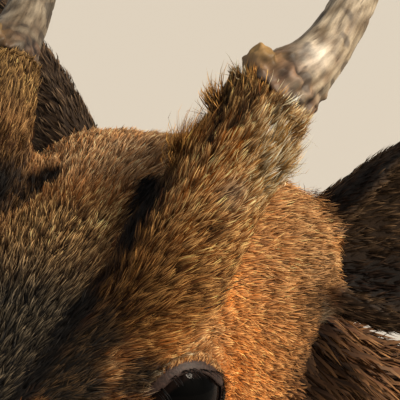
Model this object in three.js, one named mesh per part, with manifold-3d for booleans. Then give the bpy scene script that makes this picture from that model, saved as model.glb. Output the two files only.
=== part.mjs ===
// A grown male muntjac, standing, at life size in millimetres.
// +Z is up and the animal faces -Y, so its left side is at +X.
// The origin is on the ground, under the middle of the animal's bounding box.
// Every surface is the outside of the coat. Each part is cut by the part that it grows from.

import * as THREE from "three";
import { mergeVertices } from "three/addons/utils/BufferGeometryUtils.js";
import Module from "manifold-3d";

const wasm = await Module();
wasm.setup();

// Driving sizes of the whole animal
const GAP = 0.3; // between parts that touch
const EYE_HEIGHT = 510; // of the line between the eyes, above the ground
const EYE_FORWARD = 312; // of the same line, ahead of the middle of the trunk
const HEAD_PITCH = 14; // degrees, nose down
const HOOF_HEIGHT = 22;
const CHEST_FRONT = -213;
const RUMP_BACK = 306;
const FORE_STANCE = 51; // of a forefoot, out from the middle
const HIND_STANCE = 53;

const LEFT = 1;
const RIGHT = -1;
const SIDES = { left: LEFT, right: RIGHT };

// Solids from geometry

const v = (x, y, z) => new THREE.Vector3(x, y, z);
const mirrored = (side, [x, ...rest]) => [side * x, ...rest];
const mirroredVector = (side, { x, y, z }) => v(side * x, y, z);

// Turns a closed geometry into a solid whose faces point outwards.
function solidOf(geometry) {
  const bare = geometry.clone();
  bare.deleteAttribute("normal");
  bare.deleteAttribute("uv");
  const merged = mergeVertices(bare, 1e-4);
  const vertProperties = new Float32Array(merged.attributes.position.array);
  const triVerts = new Uint32Array(merged.index.array);
  const make = () => new wasm.Manifold(new wasm.Mesh({ numProp: 3, vertProperties, triVerts }));
  const made = make();
  if (made.volume() > 0) return made;
  for (let i = 0; i < triVerts.length; i += 3)
    [triVerts[i + 1], triVerts[i + 2]] = [triVerts[i + 2], triVerts[i + 1]];
  return make();
}

// A closed surface over rings that hold the same number of points.
// A ring is round, or is a cup's section: its outside one way and its inside back again.
function overRings(rings, isCup = false) {
  const sides = rings[0].length;
  const points = rings.flat();
  const faces = [];
  for (let i = 0; i + 1 < rings.length; i++)
    for (let j = 0; j < sides; j++) {
      const [a, b] = [i * sides + j, i * sides + ((j + 1) % sides)];
      faces.push(a, b, a + sides, b, b + sides, a + sides);
    }
  const closeCup = (start, turn) => {
    for (let j = 0; j + 1 < sides / 2; j++) {
      const quad = [j, j + 1, sides - 2 - j, sides - 1 - j].map((k) => start + k);
      const [a, b, c, d] = turn ? quad.reverse() : quad;
      faces.push(a, c, b, a, d, c);
    }
  };
  const closeRound = (start, turn) => {
    const sum = points.slice(start, start + sides).reduce((total, p) => total.add(p), v(0, 0, 0));
    const middle = points.push(sum.divideScalar(sides)) - 1;
    for (let j = 0; j < sides; j++) {
      const [a, b] = [start + j, start + ((j + 1) % sides)];
      faces.push(middle, ...(turn ? [a, b] : [b, a]));
    }
  };
  const close = isCup ? closeCup : closeRound;
  close(0, false);
  close((rings.length - 1) * sides, true);
  return new THREE.BufferGeometry().setFromPoints(points).setIndex(faces);
}

// A smooth value along a line, from rows of [place, value].
function along(rows) {
  const slope = (i) => {
    const [a, b] = [rows[Math.max(i - 1, 0)], rows[Math.min(i + 1, rows.length - 1)]];
    return (b[1] - a[1]) / (b[0] - a[0]);
  };
  return (place) => {
    const x = THREE.MathUtils.clamp(place, rows[0][0], rows.at(-1)[0]);
    const i = Math.max(rows.findIndex(([at]) => at >= x), 1) - 1;
    const step = rows[i + 1][0] - rows[i][0];
    const t = (x - rows[i][0]) / step;
    const [t2, t3] = [t * t, t * t * t];
    return (
      (2 * t3 - 3 * t2 + 1) * rows[i][1] +
      (t3 - 2 * t2 + t) * step * slope(i) +
      (3 * t2 - 2 * t3) * rows[i + 1][1] +
      (t3 - t2) * step * slope(i + 1)
    );
  };
}

// 1 in the middle of a length, falling to SMALLEST_END at its ends as a ball's outline does.
const SMALLEST_END = 0.02;
function roundedEnd(fromEnd, roundLength) {
  if (roundLength === 0 || fromEnd >= roundLength) return 1;
  return Math.sqrt(Math.max(1 - ((roundLength - fromEnd) / roundLength) ** 2, SMALLEST_END ** 2));
}

const signedPower = (value, power) => Math.sign(value) * Math.abs(value) ** power;

// Moves a point of a form by its swellings and hollows, each with a middle, a reach and a push.
const swellBy = (forms) => (p) => {
  const moved = p.clone();
  for (const { at, reach, push } of forms)
    for (const side of at[0] === 0 ? [LEFT] : [LEFT, RIGHT]) {
      const away = mirrored(side, at).map((place, k) => (p.getComponent(k) - place) / reach[k]);
      const share = Math.exp(-away.reduce((sum, d) => sum + d * d, 0));
      moved.addScaledVector(v(...mirrored(side, push)), share);
    }
  return moved;
};

// A form that runs front to back: its top, bottom and side lines, and the level where it is widest.
const RING_CROWDING = 0.55; // how far the rings crowd towards the ends
function longForm({ from, to, frontRound, backRound, lines, rings, sides, forms, grow = 0 }) {
  const { top, bottom, width, level, boxy } = lines;
  const swell = swellBy(forms);
  const made = [];
  for (let i = 0; i <= rings; i++) {
    const even = i / rings;
    const crowded = (1 - Math.cos(Math.PI * even)) / 2;
    const share = THREE.MathUtils.lerp(even, crowded, RING_CROWDING);
    const y = THREE.MathUtils.lerp(from - grow, to + grow, share);
    const size = roundedEnd(y - from + grow, frontRound) * roundedEnd(to + grow - y, backRound);
    const power = 2 / boxy(y);
    const ring = [];
    for (let j = 0; j < sides; j++) {
      const angle = (2 * Math.PI * j) / sides;
      const [across, up] = [Math.cos(angle), Math.sin(angle)];
      const high = up > 0 ? top(y) - level(y) + grow : level(y) - bottom(y) + grow;
      const x = (width(y) + grow) * size * signedPower(across, power);
      ring.push(swell(v(x, y, level(y) + high * size * signedPower(up, power))));
    }
    made.push(ring);
  }
  return solidOf(overRings(made));
}

// A limb along a smooth path, from rows of [x, y, z, half width, half depth].
function limb(rows, { rings, sides, startRound = 0, endRound = 0, grow = 0 }) {
  const path = new THREE.CatmullRomCurve3(rows.map(([x, y, z]) => v(x, y, z)));
  const width = along(rows.map((row, i) => [i / (rows.length - 1), row[3]]));
  const depth = along(rows.map((row, i) => [i / (rows.length - 1), row[4]]));
  const length = path.getLength();
  const made = [];
  for (let i = 0; i <= rings; i++) {
    const even = i / rings;
    const crowded = (1 - Math.cos(Math.PI * even)) / 2;
    const t = startRound + endRound > 0 ? (even + crowded) / 2 : even;
    const size = roundedEnd(t * length, startRound) * roundedEnd((1 - t) * length, endRound);
    const tangent = path.getTangent(t);
    const fore = v(1, 0, 0).cross(tangent).normalize();
    const side = tangent.clone().cross(fore).normalize();
    const ring = [];
    for (let j = 0; j < sides; j++) {
      const angle = (2 * Math.PI * j) / sides;
      const point = path.getPoint(t);
      point.addScaledVector(side, (width(t) + grow) * size * Math.cos(angle));
      point.addScaledVector(fore, (depth(t) + grow) * size * Math.sin(angle));
      ring.push(point);
    }
    made.push(ring);
  }
  return solidOf(overRings(made));
}

// A limb that is round in section, from rows of [x, y, z, radius].
const roundLimb = (rows, options) => limb(rows.map(([x, y, z, r]) => [x, y, z, r, r]), options);

// An egg of three half sizes, turned by degrees and placed.
function egg([rx, ry, rz], [x, y, z], turn = [0, 0, 0], around = 16) {
  const geometry = new THREE.SphereGeometry(1, around, Math.round(around * 0.7));
  const spin = new THREE.Quaternion().setFromEuler(new THREE.Euler(...turn.map(THREE.MathUtils.degToRad)));
  geometry.applyMatrix4(new THREE.Matrix4().compose(v(x, y, z), spin, v(rx, ry, rz)));
  return solidOf(geometry);
}

// The largest closed body of a solid, without the scraps that a cut leaves.
function largest(solid) {
  return solid.decompose().sort((a, b) => b.volume() - a.volume())[0];
}

// The head's own frame: origin between the eyes, x to the left, y back and z up from the line of the face.
const headFrame = new THREE.Matrix4()
  .makeTranslation(0, -EYE_FORWARD, EYE_HEIGHT)
  .multiply(new THREE.Matrix4().makeRotationX(THREE.MathUtils.degToRad(HEAD_PITCH)));
const toBody = (solid) => solid.transform(headFrame.elements);

// Trunk: chest, belly and rump
const TRUNK_LINES = {
  top: along([
    [CHEST_FRONT, 412], [-170, 434], [-120, 455], [-60, 471], [20, 477],
    [100, 480], [170, 482], [225, 473], [270, 450], [RUMP_BACK, 414],
  ]),
  bottom: along([
    [CHEST_FRONT, 320], [-180, 283], [-140, 258], [-90, 247], [-20, 246],
    [60, 255], [130, 275], [190, 297], [245, 310], [RUMP_BACK, 322],
  ]),
  width: along([
    [CHEST_FRONT, 50], [-170, 60], [-110, 69], [-30, 80], [60, 86],
    [130, 83], [200, 79], [260, 72], [RUMP_BACK, 62],
  ]),
  level: along([[CHEST_FRONT, 372], [-100, 347], [60, 346], [180, 384], [RUMP_BACK, 388]]),
  boxy: () => 2.15,
};
const TRUNK_FORMS = [
  { name: "shoulder", at: [60, -130, 372], reach: [40, 52, 62], push: [7, -3, 0] },
  { name: "hollow behind the shoulder", at: [72, -58, 392], reach: [36, 30, 50], push: [-4, 0, 0] },
  { name: "flank", at: [80, 112, 330], reach: [36, 40, 44], push: [-8, 0, 3] },
  { name: "thigh", at: [64, 206, 388], reach: [40, 60, 66], push: [8, 3, 0] },
  { name: "hip bone", at: [42, 196, 464], reach: [18, 22, 14], push: [3, 0, 2.5] },
  { name: "breast", at: [0, -206, 350], reach: [26, 24, 34], push: [0, -8, -3] },
];

// The upper arm and the thigh, which stand out of the trunk and carry the free legs
const UPPER_ARM = [
  [40, -112, 424, 16, 34],
  [46, -126, 384, 22, 48],
  [53, -136, 336, 24, 48],
  [56, -129, 294, 20, 38],
  [56.5, -121, 252, 15, 24],
];
const THIGH = [
  [36, 214, 440, 20, 36],
  [44, 214, 404, 32, 60],
  [52, 210, 354, 33, 70],
  [57, 199, 302, 26, 55],
  [57.5, 204, 250, 16, 30],
];

function trunk(grow = 0) {
  const body = longForm({
    from: CHEST_FRONT,
    to: RUMP_BACK,
    frontRound: 60,
    backRound: 64,
    lines: TRUNK_LINES,
    forms: TRUNK_FORMS,
    rings: 24,
    sides: 22,
    grow,
  });
  const masses = Object.values(SIDES).flatMap((side) =>
    [UPPER_ARM, THIGH].map((rows) => {
      const placed = rows.map((row) => mirrored(side, row));
      return limb(placed, { rings: 9, sides: 12, startRound: 30, endRound: 20, grow });
    }),
  );
  return masses.reduce((whole, mass) => whole.add(mass), body);
}

// Neck: from inside the back of the head to inside the chest
const NECK = [
  [0, 40 - EYE_FORWARD, EYE_HEIGHT + 4, 28, 36],
  [0, 61 - EYE_FORWARD, EYE_HEIGHT - 18, 35, 46],
  [0, -228, 466, 46, 62],
  [0, -194, 439, 55, 76],
  [0, -156, 410, 61, 84],
  [0, -118, 382, 62, 82],
];
const neck = (grow = 0) => limb(NECK, { rings: 11, sides: 18, grow });

// Head, in its own frame
const NOSE_END = -89;
const NAPE = 76;
const HEAD_LINES = {
  top: along([
    [NOSE_END, -9], [-80, -4.5], [-62, -0.5], [-42, 5.5], [-24, 12.5], [-4, 23],
    [14, 31.5], [30, 36], [46, 37.5], [58, 34], [NAPE, 24],
  ]),
  bottom: along([
    [NOSE_END, -25], [-80, -35], [-66, -38.5], [-46, -38], [-26, -40],
    [-6, -45], [14, -51], [34, -54], [54, -50], [NAPE, -40],
  ]),
  width: along([
    [NOSE_END, 13], [-78, 15.5], [-64, 17.2], [-50, 19.2], [-36, 22], [-22, 26],
    [-9, 30], [4, 32.8], [18, 33], [34, 31.6], [52, 31.6], [NAPE, 30],
  ]),
  level: along([[NOSE_END, -17], [-60, -17], [-36, -12], [-12, -4], [10, 0], [34, -3], [NAPE, -6]]),
  boxy: along([[NOSE_END, 2.4], [-60, 2.3], [-20, 2.25], [20, 2.35], [NAPE, 2.15]]),
};
const HEAD_FORMS = [
  { name: "brow", at: [27, 3, 17], reach: [9, 15, 8], push: [3.2, 0, 3.2] },
  { name: "frontal ridge", at: [19, 2, 25], reach: [6, 18, 9], push: [0.8, 0, 2.6] },
  { name: "stripe groove", at: [12, -6, 21], reach: [3.2, 24, 9], push: [0, 0, -1.6] },
  { name: "cheek bone", at: [32, 13, -14], reach: [10, 18, 8], push: [1, 0, 0] },
  { name: "chewing muscle", at: [28, 24, -30], reach: [10, 16, 15], push: [0.4, 0, 0] },
  { name: "tear pit", at: [26, -21, -1], reach: [8, 11, 7], push: [-3.2, 0, 0] },
  { name: "hollow of the cheek", at: [22, -34, -24], reach: [9, 14, 9], push: [-2.2, 0, 0.6] },
  { name: "temple", at: [33, 28, 14], reach: [9, 9, 9], push: [-1.6, 0, -0.6] },
  { name: "crown", at: [17, 48, 30], reach: [12, 16, 10], push: [0.5, 0, 3] },
  { name: "ear base", at: [32, 56, 13], reach: [17, 20, 18], push: [12, 2, 3] },
  { name: "upper lip", at: [15, -72, -24], reach: [7, 12, 6], push: [1.8, -0.5, -0.8] },
  { name: "nostril wing", at: [11, -84, -10], reach: [5, 6, 6], push: [1.6, 0, 0.6] },
  { name: "chin", at: [0, -76, -36], reach: [9, 9, 6], push: [0, -1.2, -1.8] },
];

const skull = (grow = 0) =>
  longForm({
    from: NOSE_END,
    to: NAPE,
    frontRound: 13,
    backRound: 30,
    lines: HEAD_LINES,
    forms: HEAD_FORMS,
    rings: 32,
    sides: 28,
    grow,
  });

// Eye: the ball sits in the head, and the lids are a shell round it with an opening along its gaze
const EYE_RADIUS = 12.2;
const EYE_AT = [22.6, 4.3, -2.4];
const EYE_GAZE = v(0.88, -0.42, 0.2).normalize();
const LID = 1.5;
const LID_OPENING = { length: 24, height: 17.5, tilt: -9 };
const LID_REACH = 30; // of the tool that opens the lids

const eyeball = (side, more = 0) =>
  egg(Array(3).fill(EYE_RADIUS + more), mirrored(side, EYE_AT), [0, 0, 0], 14);

// The almond of the open lids, drawn out along the gaze.
function lidOpening(side) {
  const { length, height, tilt } = LID_OPENING;
  const [a, b] = [length / 2, height / 2];
  const almond = new THREE.Shape();
  almond.moveTo(-a, 0);
  almond.bezierCurveTo(-a * 0.62, b * 1.12, a * 0.45, b * 1.3, a, 0);
  almond.bezierCurveTo(a * 0.5, -b * 1.16, -a * 0.55, -b * 1.16, -a, 0);
  const reach = { depth: LID_REACH, bevelEnabled: false, curveSegments: 10 };
  const geometry = new THREE.ExtrudeGeometry(almond, reach);
  geometry.rotateZ(THREE.MathUtils.degToRad(tilt));
  const gaze = mirroredVector(side, EYE_GAZE);
  const back = v(0, 1, 0).addScaledVector(gaze, -gaze.y).normalize();
  const turn = new THREE.Matrix4().makeBasis(back, gaze.clone().cross(back), gaze);
  if (side === RIGHT) geometry.scale(1, -1, 1);
  geometry.applyMatrix4(turn.setPosition(...mirrored(side, EYE_AT)));
  return solidOf(geometry);
}

// Nose pad, nostrils and tear glands: half sizes, place and turn, as they are on the left
const NOSE = { size: [11.6, 8.2, 9], at: [0, -83.5, -14], turn: [-12, 0, 0] };
const NOSTRIL = { size: [2.3, 6.5, 1.9], at: [6.6, -90.2, -13.2], turn: [0, -28, -24] };
const TEAR_GLAND = { size: [3.6, 9.5, 1.9], at: [25, -20.5, -5.5], turn: [-24, 0, -14] };

const nosePad = (more = 0) => egg(NOSE.size.map((half) => half + more), NOSE.at, NOSE.turn, 14);
const hollow = (side, { size, at, turn: [x, y, z] }) =>
  egg(size, mirrored(side, at), [x, side * y, side * z], 10);

// The closed mouth: a thin curved slit from the lips back to the corner.
const MOUTH_SLIT = 0.8;
const MOUTH_LINE = [[-96, -26], [-82, -26.5], [-66, -30], [-50, -27.5]];
const MOUTH_WIDTH = 60; // of the tool that cuts the slit
function mouthSlit() {
  const curve = new THREE.SplineCurve(MOUTH_LINE.map(([y, z]) => new THREE.Vector2(y, z)));
  const line = curve.getPoints(12);
  const upper = line.map((p) => new THREE.Vector2(p.x, p.y + MOUTH_SLIT / 2));
  const lower = line.map((p) => new THREE.Vector2(p.x, p.y - MOUTH_SLIT / 2)).reverse();
  const outline = new THREE.Shape([...upper, ...lower]);
  const geometry = new THREE.ExtrudeGeometry(outline, { depth: MOUTH_WIDTH, bevelEnabled: false });
  geometry.translate(0, 0, -MOUTH_WIDTH / 2);
  geometry.applyMatrix4(new THREE.Matrix4().makeBasis(v(0, 1, 0), v(0, 0, 1), v(1, 0, 0)));
  return solidOf(geometry);
}

// Tusk: the male's upper canine, which shows below the lip
const TUSK = [
  [13.4, -61, -20, 2.4],
  [14.8, -60.4, -27.5, 2.3],
  [15.8, -58.4, -33.5, 1.7],
  [16.4, -55.6, -38.5, 0.5],
];
const TUSK_FLATNESS = 0.7; // of its width over its depth
function tusk(side, more = 0) {
  const rows = TUSK.map(([x, y, z, r]) => [side * x, y, z, r * TUSK_FLATNESS + more, r + more]);
  return limb(rows, { rings: 6, sides: 8 });
}

// Ear: a thin cup that opens forwards and outwards. The left ear is held out nearly level and the
// right one is raised, with its root drawn up; both are given as for the left side.
const EAR_HELD = {
  left: { root: [28, 58, 8.2], axis: v(0.87, 0.46, 0.07).normalize() },
  right: { root: [23, 61, 14], axis: v(0.89, 0.33, 0.32).normalize() },
};
const EAR_LENGTH = 102; // with its hidden root
const EAR_BEND = v(-0.13, 0.02, 0.19); // of the tip, as a share of the length
const EAR_FACES = v(0.48, -0.84, 0.2);
const EAR_HALF_WIDTH = along([
  [0, 9], [0.1, 15], [0.19, 19.5], [0.28, 22], [0.43, 25], [0.6, 26], [0.77, 22.5], [0.91, 13], [1, 2],
]);
const EAR_HALF_DEPTH = along([[0, 9.5], [0.2, 12], [0.5, 11], [0.8, 6.5], [1, 1.2]]);
const EAR_TURN = along([[0, 168], [0.14, 142], [0.26, 114], [0.42, 98], [0.6, 88], [0.82, 78], [1, 66]]);
const EAR_THICKNESS = along([[0, 3.2], [0.3, 2.6], [0.8, 2], [1, 0.9]]);
const EAR_RINGS = 13;
const EAR_STEPS = 9; // round each face of the cup

function ear(side, { root, axis: line }) {
  const axis = mirroredVector(side, line);
  const faces = mirroredVector(side, EAR_FACES);
  faces.addScaledVector(axis, -faces.dot(axis)).normalize();
  const across = axis.clone().cross(faces);
  const made = [];
  for (let i = 0; i <= EAR_RINGS; i++) {
    const u = i / EAR_RINGS;
    const middle = v(...mirrored(side, root));
    middle.addScaledVector(axis, u * EAR_LENGTH);
    middle.addScaledVector(mirroredVector(side, EAR_BEND), u * u * EAR_LENGTH);
    const turn = THREE.MathUtils.degToRad(EAR_TURN(u));
    const ring = [];
    for (const isInside of [false, true])
      for (let j = 0; j <= EAR_STEPS; j++) {
        const share = (isInside ? EAR_STEPS - j : j) / EAR_STEPS;
        const angle = (2 * share - 1) * turn;
        const inset = isInside ? EAR_THICKNESS(u) : 0;
        const point = middle.clone();
        point.addScaledVector(faces, -(EAR_HALF_DEPTH(u) - inset) * Math.cos(angle));
        point.addScaledVector(across, (EAR_HALF_WIDTH(u) - inset) * Math.sin(angle));
        ring.push(point);
      }
    made.push(ring);
  }
  return solidOf(overRings(made, true));
}

// Pedicle: the hairy stalk of bone that carries the antler, which ends in a slanting ring, the coronet
const CORONET_AT = v(31.8, 40.6, 49.1);
const CORONET_FACES = v(0.5, 0.62, 0.6).normalize();
const PEDICLE = [
  [18.2, -6, 3.5, 9.5],
  [21.8, 5, 15.5, 12],
  [24.5, 13.5, 24, 11.8],
  [27.2, 22.5, 32.5, 10.8],
  [30.2, 32.3, 41.9, 10.2],
  [32.8, 41.3, 50.4, 10.6],
  [35.4, 50.3, 58.4, 9.5],
];
const PEDICLE_CUT = 40; // thickness of the block that cuts the pedicle off
const ANTLER_CUT = 120; // thickness of the block that holds the whole antler

// A block on the antler's side of the coronet's plane, moved off that plane by `shift`.
function pastCoronet(side, shift, thickness) {
  const faces = mirroredVector(side, CORONET_FACES);
  const middle = mirroredVector(side, CORONET_AT).addScaledVector(faces, shift + thickness / 2);
  const geometry = new THREE.BoxGeometry(thickness, thickness, thickness);
  geometry.applyQuaternion(new THREE.Quaternion().setFromUnitVectors(v(0, 0, 1), faces));
  return solidOf(geometry.translate(middle.x, middle.y, middle.z));
}

function pedicle(side) {
  const stalk = roundLimb(PEDICLE.map((row) => mirrored(side, row)), { rings: 11, sides: 16 });
  return stalk.subtract(pastCoronet(side, 0, PEDICLE_CUT));
}

// Antler: a short beam that leans out and back, then up, and hooks at its tip, with a knob for a brow tine
const ANTLER = [
  [28.6, 32, 46.2, 9.2],
  [32.4, 41, 49.4, 9],
  [34.9, 50, 51.8, 7],
  [36.4, 59.3, 55, 5.7],
  [38.1, 69.4, 62, 5],
  [39.4, 77.6, 71.6, 4.5],
  [39.6, 83.4, 83.4, 4],
  [38, 88, 95, 3.3],
  [34.6, 93.6, 104.2, 2.4],
  [30, 100.4, 109.4, 0.7],
];
const BROW_TINE = [
  [31.6, 40.4, 46.5, 4.6],
  [31.6, 39.2, 53, 3.8],
  [31.8, 38.6, 57.6, 3.1],
  [31.9, 38.4, 61, 2.2],
];
const BEAM_FLATNESS = 0.94;
function antler(side) {
  const rows = ANTLER.map(([x, y, z, r]) => [side * x, y, z, r * BEAM_FLATNESS, r]);
  const beam = limb(rows, { rings: 20, sides: 10 });
  const tine = roundLimb(BROW_TINE.map((row) => mirrored(side, row)), { rings: 6, sides: 8, endRound: 3 });
  return beam.add(tine).intersect(pastCoronet(side, GAP, ANTLER_CUT));
}

// Legs: the free part of each, from inside the upper arm or the thigh down to the hooves
const FOOT_TOP = HOOF_HEIGHT + GAP;
const FORELEG = [
  [57, -122, 312, 17, 28],
  [56.5, -120, 268, 15.5, 24],
  [55, -120, 226, 13, 18],
  [53, -121, 188, 11.2, 14],
  [52, -123, 165, 12.4, 14.6],
  [51.5, -120, 143, 10.4, 12.4],
  [FORE_STANCE, -117.5, 100, 9, 10.8],
  [FORE_STANCE, -117.5, 66, 9.4, 11.6],
  [FORE_STANCE, -118.5, 52, 11.2, 13.6],
  [FORE_STANCE, -123, 36, 10.2, 11.8],
  [FORE_STANCE, -127, FOOT_TOP, 12.6, 14],
];
const HINDLEG = [
  [58, 194, 312, 20, 40],
  [57.5, 200, 272, 18.6, 38],
  [57, 219, 235, 14, 24],
  [56, 250, 196, 11.5, 15.5],
  [55, 267, 174, 12.2, 16],
  [54.5, 269, 150, 10.8, 13.2],
  [53.5, 263, 110, 9.4, 11.2],
  [HIND_STANCE, 256, 68, 9.6, 11.8],
  [HIND_STANCE, 253.5, 53, 11.2, 13.8],
  [HIND_STANCE, 247.5, 36, 10.2, 12],
  [HIND_STANCE, 243, FOOT_TOP, 12.6, 14],
];
const LEG_ROWS = { foreleg: FORELEG, hindleg: HINDLEG };
// How far each foot stands ahead of its plain place, and how evenly the leg bends to it
const STEPS = { foreleg_left: 24, foreleg_right: -8, hindleg_left: -16, hindleg_right: 20 };
const STEP_BEND = 0.9;
const FLOOR_BLOCK = 120;

function legRows(end, name, side) {
  const rows = LEG_ROWS[end];
  const ahead = (z) => STEPS[name] * (1 - z / rows[0][2]) ** STEP_BEND;
  return rows.map(([x, y, z, ...sizes]) => [side * x, y - ahead(z), z, ...sizes]);
}

function leg(rows) {
  const [x, y, z] = rows.at(-1);
  const below = new THREE.BoxGeometry(FLOOR_BLOCK, FLOOR_BLOCK, FLOOR_BLOCK);
  below.translate(x, y, z - FLOOR_BLOCK / 2);
  return limb(rows, { rings: 20, sides: 12 }).subtract(solidOf(below));
}

// Hoof: one of the two claws of a foot, pointed in front, flat below
const CLAW = { length: 35, width: 12.2, spread: 6.7, topLength: 24, topWidth: 10.4, ahead: 5.5, slope: 8 };
const CLAW_SIDES = 16;
function claw(foot, part) {
  const { length, width, spread, topLength, topWidth, ahead, slope } = CLAW;
  const outline = (share) => {
    const long = THREE.MathUtils.lerp(length, topLength, share) / 2;
    const wide = THREE.MathUtils.lerp(width, topWidth, share ** 2) / 2;
    const ring = [];
    for (let j = 0; j < CLAW_SIDES; j++) {
      const angle = (2 * Math.PI * j) / CLAW_SIDES;
      const toe = Math.max(-Math.sin(angle), 0);
      const x = wide * Math.cos(angle) * (1 - 0.25 * toe) - part * toe * 1.2;
      const y = long * signedPower(Math.sin(angle), 0.85) - ahead + slope * share;
      ring.push(v(foot[0] + part * spread + x, foot[1] + y, HOOF_HEIGHT * share));
    }
    return ring;
  };
  return solidOf(overRings([0, 0.5, 1].map(outline)));
}

// Dew claw: a small horny point behind the pastern
const DEW_CLAW = { size: [4, 4.4, 7.2], behind: 12, above: 21, spread: 6.4, lean: 28 };
function dewClaw(foot, part, more = 0) {
  const { size, behind, above, spread, lean } = DEW_CLAW;
  const at = [foot[0] + part * spread, foot[1] + behind, foot[2] + above];
  return egg(size.map((half) => half + more), at, [lean, 0, 0], 7);
}

// Tail: a core that hangs against the rump, with flat locks of long hair at its edges and its tip
const TAIL = [
  [0, 260, 448, 14, 12],
  [0, 290, 437, 17, 11],
  [0, 311, 408, 21, 10],
  [0, 318, 366, 23, 8.8],
  [0, 315, 330, 17, 7],
  [0, 310, 304, 3, 3],
];
const TAIL_END = TAIL.at(-1)[2];
const TAIL_Y = along(TAIL.map(([, y, z]) => [z, y]).reverse());
const TAIL_HALF_WIDTH = along(TAIL.map(([, , z, half]) => [z, half]).reverse());
const TAIL_HALF_DEPTH = along(TAIL.map(([, , z, , half]) => [z, half]).reverse());
const LOCK = { length: 44, rootWidth: 3.6, width: 7, thickness: 1.8, sunk: 3.4, flare: 9 };
const EDGE_LOCK_LEVELS = [404, 379, 354, 331];
const BACK_LOCK_LEVELS = [350, 332];
const TIP_LOCKS_OUT = [-9, 0, 9]; // from the middle of the tail's end

// A flat, tapered lock from a root inside the tail, through its middle, to its tip.
function lock(root, middle, tip) {
  const { rootWidth, width, thickness } = LOCK;
  const rows = [
    [...root, rootWidth, thickness],
    [...middle, width, thickness],
    [...tip, 0.9, 0.6],
  ];
  return limb(rows, { rings: 3, sides: 5 });
}

function tailLocks() {
  const { length, sunk, flare } = LOCK;
  const lower = (z, share) => Math.max(z - length * share, TAIL_END);
  const locks = [];
  for (const z of EDGE_LOCK_LEVELS)
    for (const side of Object.values(SIDES)) {
      const out = (share, more) => side * (TAIL_HALF_WIDTH(lower(z, share)) + more);
      const root = [out(0, -sunk), TAIL_Y(z), z];
      const middle = [out(0.45, -sunk / 3), TAIL_Y(lower(z, 0.45)), z - length * 0.45];
      locks.push(lock(root, middle, [out(1, flare), TAIL_Y(lower(z, 1)), z - length]));
    }
  for (const z of BACK_LOCK_LEVELS) {
    const back = (share, more) => TAIL_Y(lower(z, share)) + TAIL_HALF_DEPTH(lower(z, share)) + more;
    const root = [0, back(0, -sunk), z];
    locks.push(lock(root, [0, back(0.45, -0.6), z - length * 0.45], [0, back(1, 0.6), z - length]));
  }
  for (const x of TIP_LOCKS_OUT) {
    const z = TAIL_END + length * 0.45;
    const root = [x / 3, TAIL_Y(z), z];
    locks.push(lock(root, [x * 0.8, TAIL_Y(TAIL_END), TAIL_END], [x, TAIL_Y(TAIL_END) - 1.5, z - length]));
  }
  return locks;
}

const tail = () => tailLocks().reduce((whole, hair) => whole.add(hair), limb(TAIL, { rings: 10, sides: 12 }));

// Coat and horn colours
const material = (color, roughness) => new THREE.MeshStandardMaterial({ color, roughness, metalness: 0 });
const COAT = material(0x8a4f26, 0.85);
const DARK_COAT = material(0x4a3020, 0.85);
const FACE_COAT = material(0x9a6030, 0.85);
const PEDICLE_COAT = material(0xa87a3c, 0.85);
const EAR_COAT = material(0x6b4a30, 0.85);
const TAIL_COAT = material(0x94532a, 0.85);
const HORN = material(0xb7a284, 0.6);
const HOOF_HORN = material(0x1d1815, 0.45);
const NOSE_SKIN = material(0x14110f, 0.35);
const EYE_GLOSS = material(0x0a0706, 0.05);
const IVORY = material(0xe6dcc0, 0.35);

const animal = new THREE.Group();
function place(name, solid, finish) {
  const { vertProperties, triVerts } = largest(solid).getMesh();
  const geometry = new THREE.BufferGeometry();
  geometry.setAttribute("position", new THREE.BufferAttribute(new Float32Array(vertProperties), 3));
  geometry.setIndex(new THREE.BufferAttribute(new Uint32Array(triVerts), 1));
  geometry.computeVertexNormals();
  const mesh = new THREE.Mesh(geometry, finish);
  mesh.name = name;
  animal.add(mesh);
}

// The head whole: skull form, lids, then what is cut into it
let head = skull();
for (const side of Object.values(SIDES)) {
  head = head.add(eyeball(side, LID));
  head = head.subtract(lidOpening(side)).subtract(eyeball(side, GAP));
  head = head.subtract(hollow(side, TEAR_GLAND)).subtract(tusk(side, GAP));
}
head = head.subtract(nosePad(GAP)).subtract(mouthSlit());

let nose = nosePad().subtract(mouthSlit());
for (const side of Object.values(SIDES)) nose = nose.subtract(hollow(side, NOSTRIL));

const grownTrunk = trunk(GAP);
const grownSkull = toBody(skull(GAP));
const grownNeck = neck(GAP);

place("torso", trunk(), COAT);
place("neck", neck().subtract(grownTrunk).subtract(grownSkull), COAT);
place("head", toBody(head), FACE_COAT);
place("nose_pad", toBody(nose), NOSE_SKIN);
place("tail", tail().subtract(grownTrunk), TAIL_COAT);

for (const [sideName, side] of Object.entries(SIDES)) {
  place(`eye_${sideName}`, toBody(eyeball(side)), EYE_GLOSS);
  place(`ear_${sideName}`, toBody(ear(side, EAR_HELD[sideName])).subtract(grownSkull).subtract(grownNeck), EAR_COAT);
  place(`tusk_${sideName}`, toBody(tusk(side)), IVORY);
  place(`pedicle_${sideName}`, toBody(pedicle(side)).subtract(grownSkull), PEDICLE_COAT);
  place(`antler_${sideName}`, toBody(antler(side)), HORN);
  for (const end of Object.keys(LEG_ROWS)) {
    const name = `${end}_${sideName}`;
    const rows = legRows(end, name, side);
    const foot = rows.at(-1);
    let freeLeg = leg(rows).subtract(grownTrunk);
    for (const [partName, part] of Object.entries({ inner: -side, outer: side })) {
      freeLeg = freeLeg.subtract(dewClaw(foot, part, GAP));
      place(`${name}_dew_claw_${partName}`, dewClaw(foot, part), HOOF_HORN);
      place(`${name}_hoof_${partName}`, claw(foot, part), HOOF_HORN);
    }
    place(name, freeLeg, DARK_COAT);
  }
}

// Sets the origin on the ground under the middle of the animal.
const extent = new THREE.Box3().setFromObject(animal);
const middle = extent.getCenter(new THREE.Vector3());
animal.position.set(-middle.x, -middle.y, -extent.min.z);

export default animal;
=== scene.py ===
import math

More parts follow.
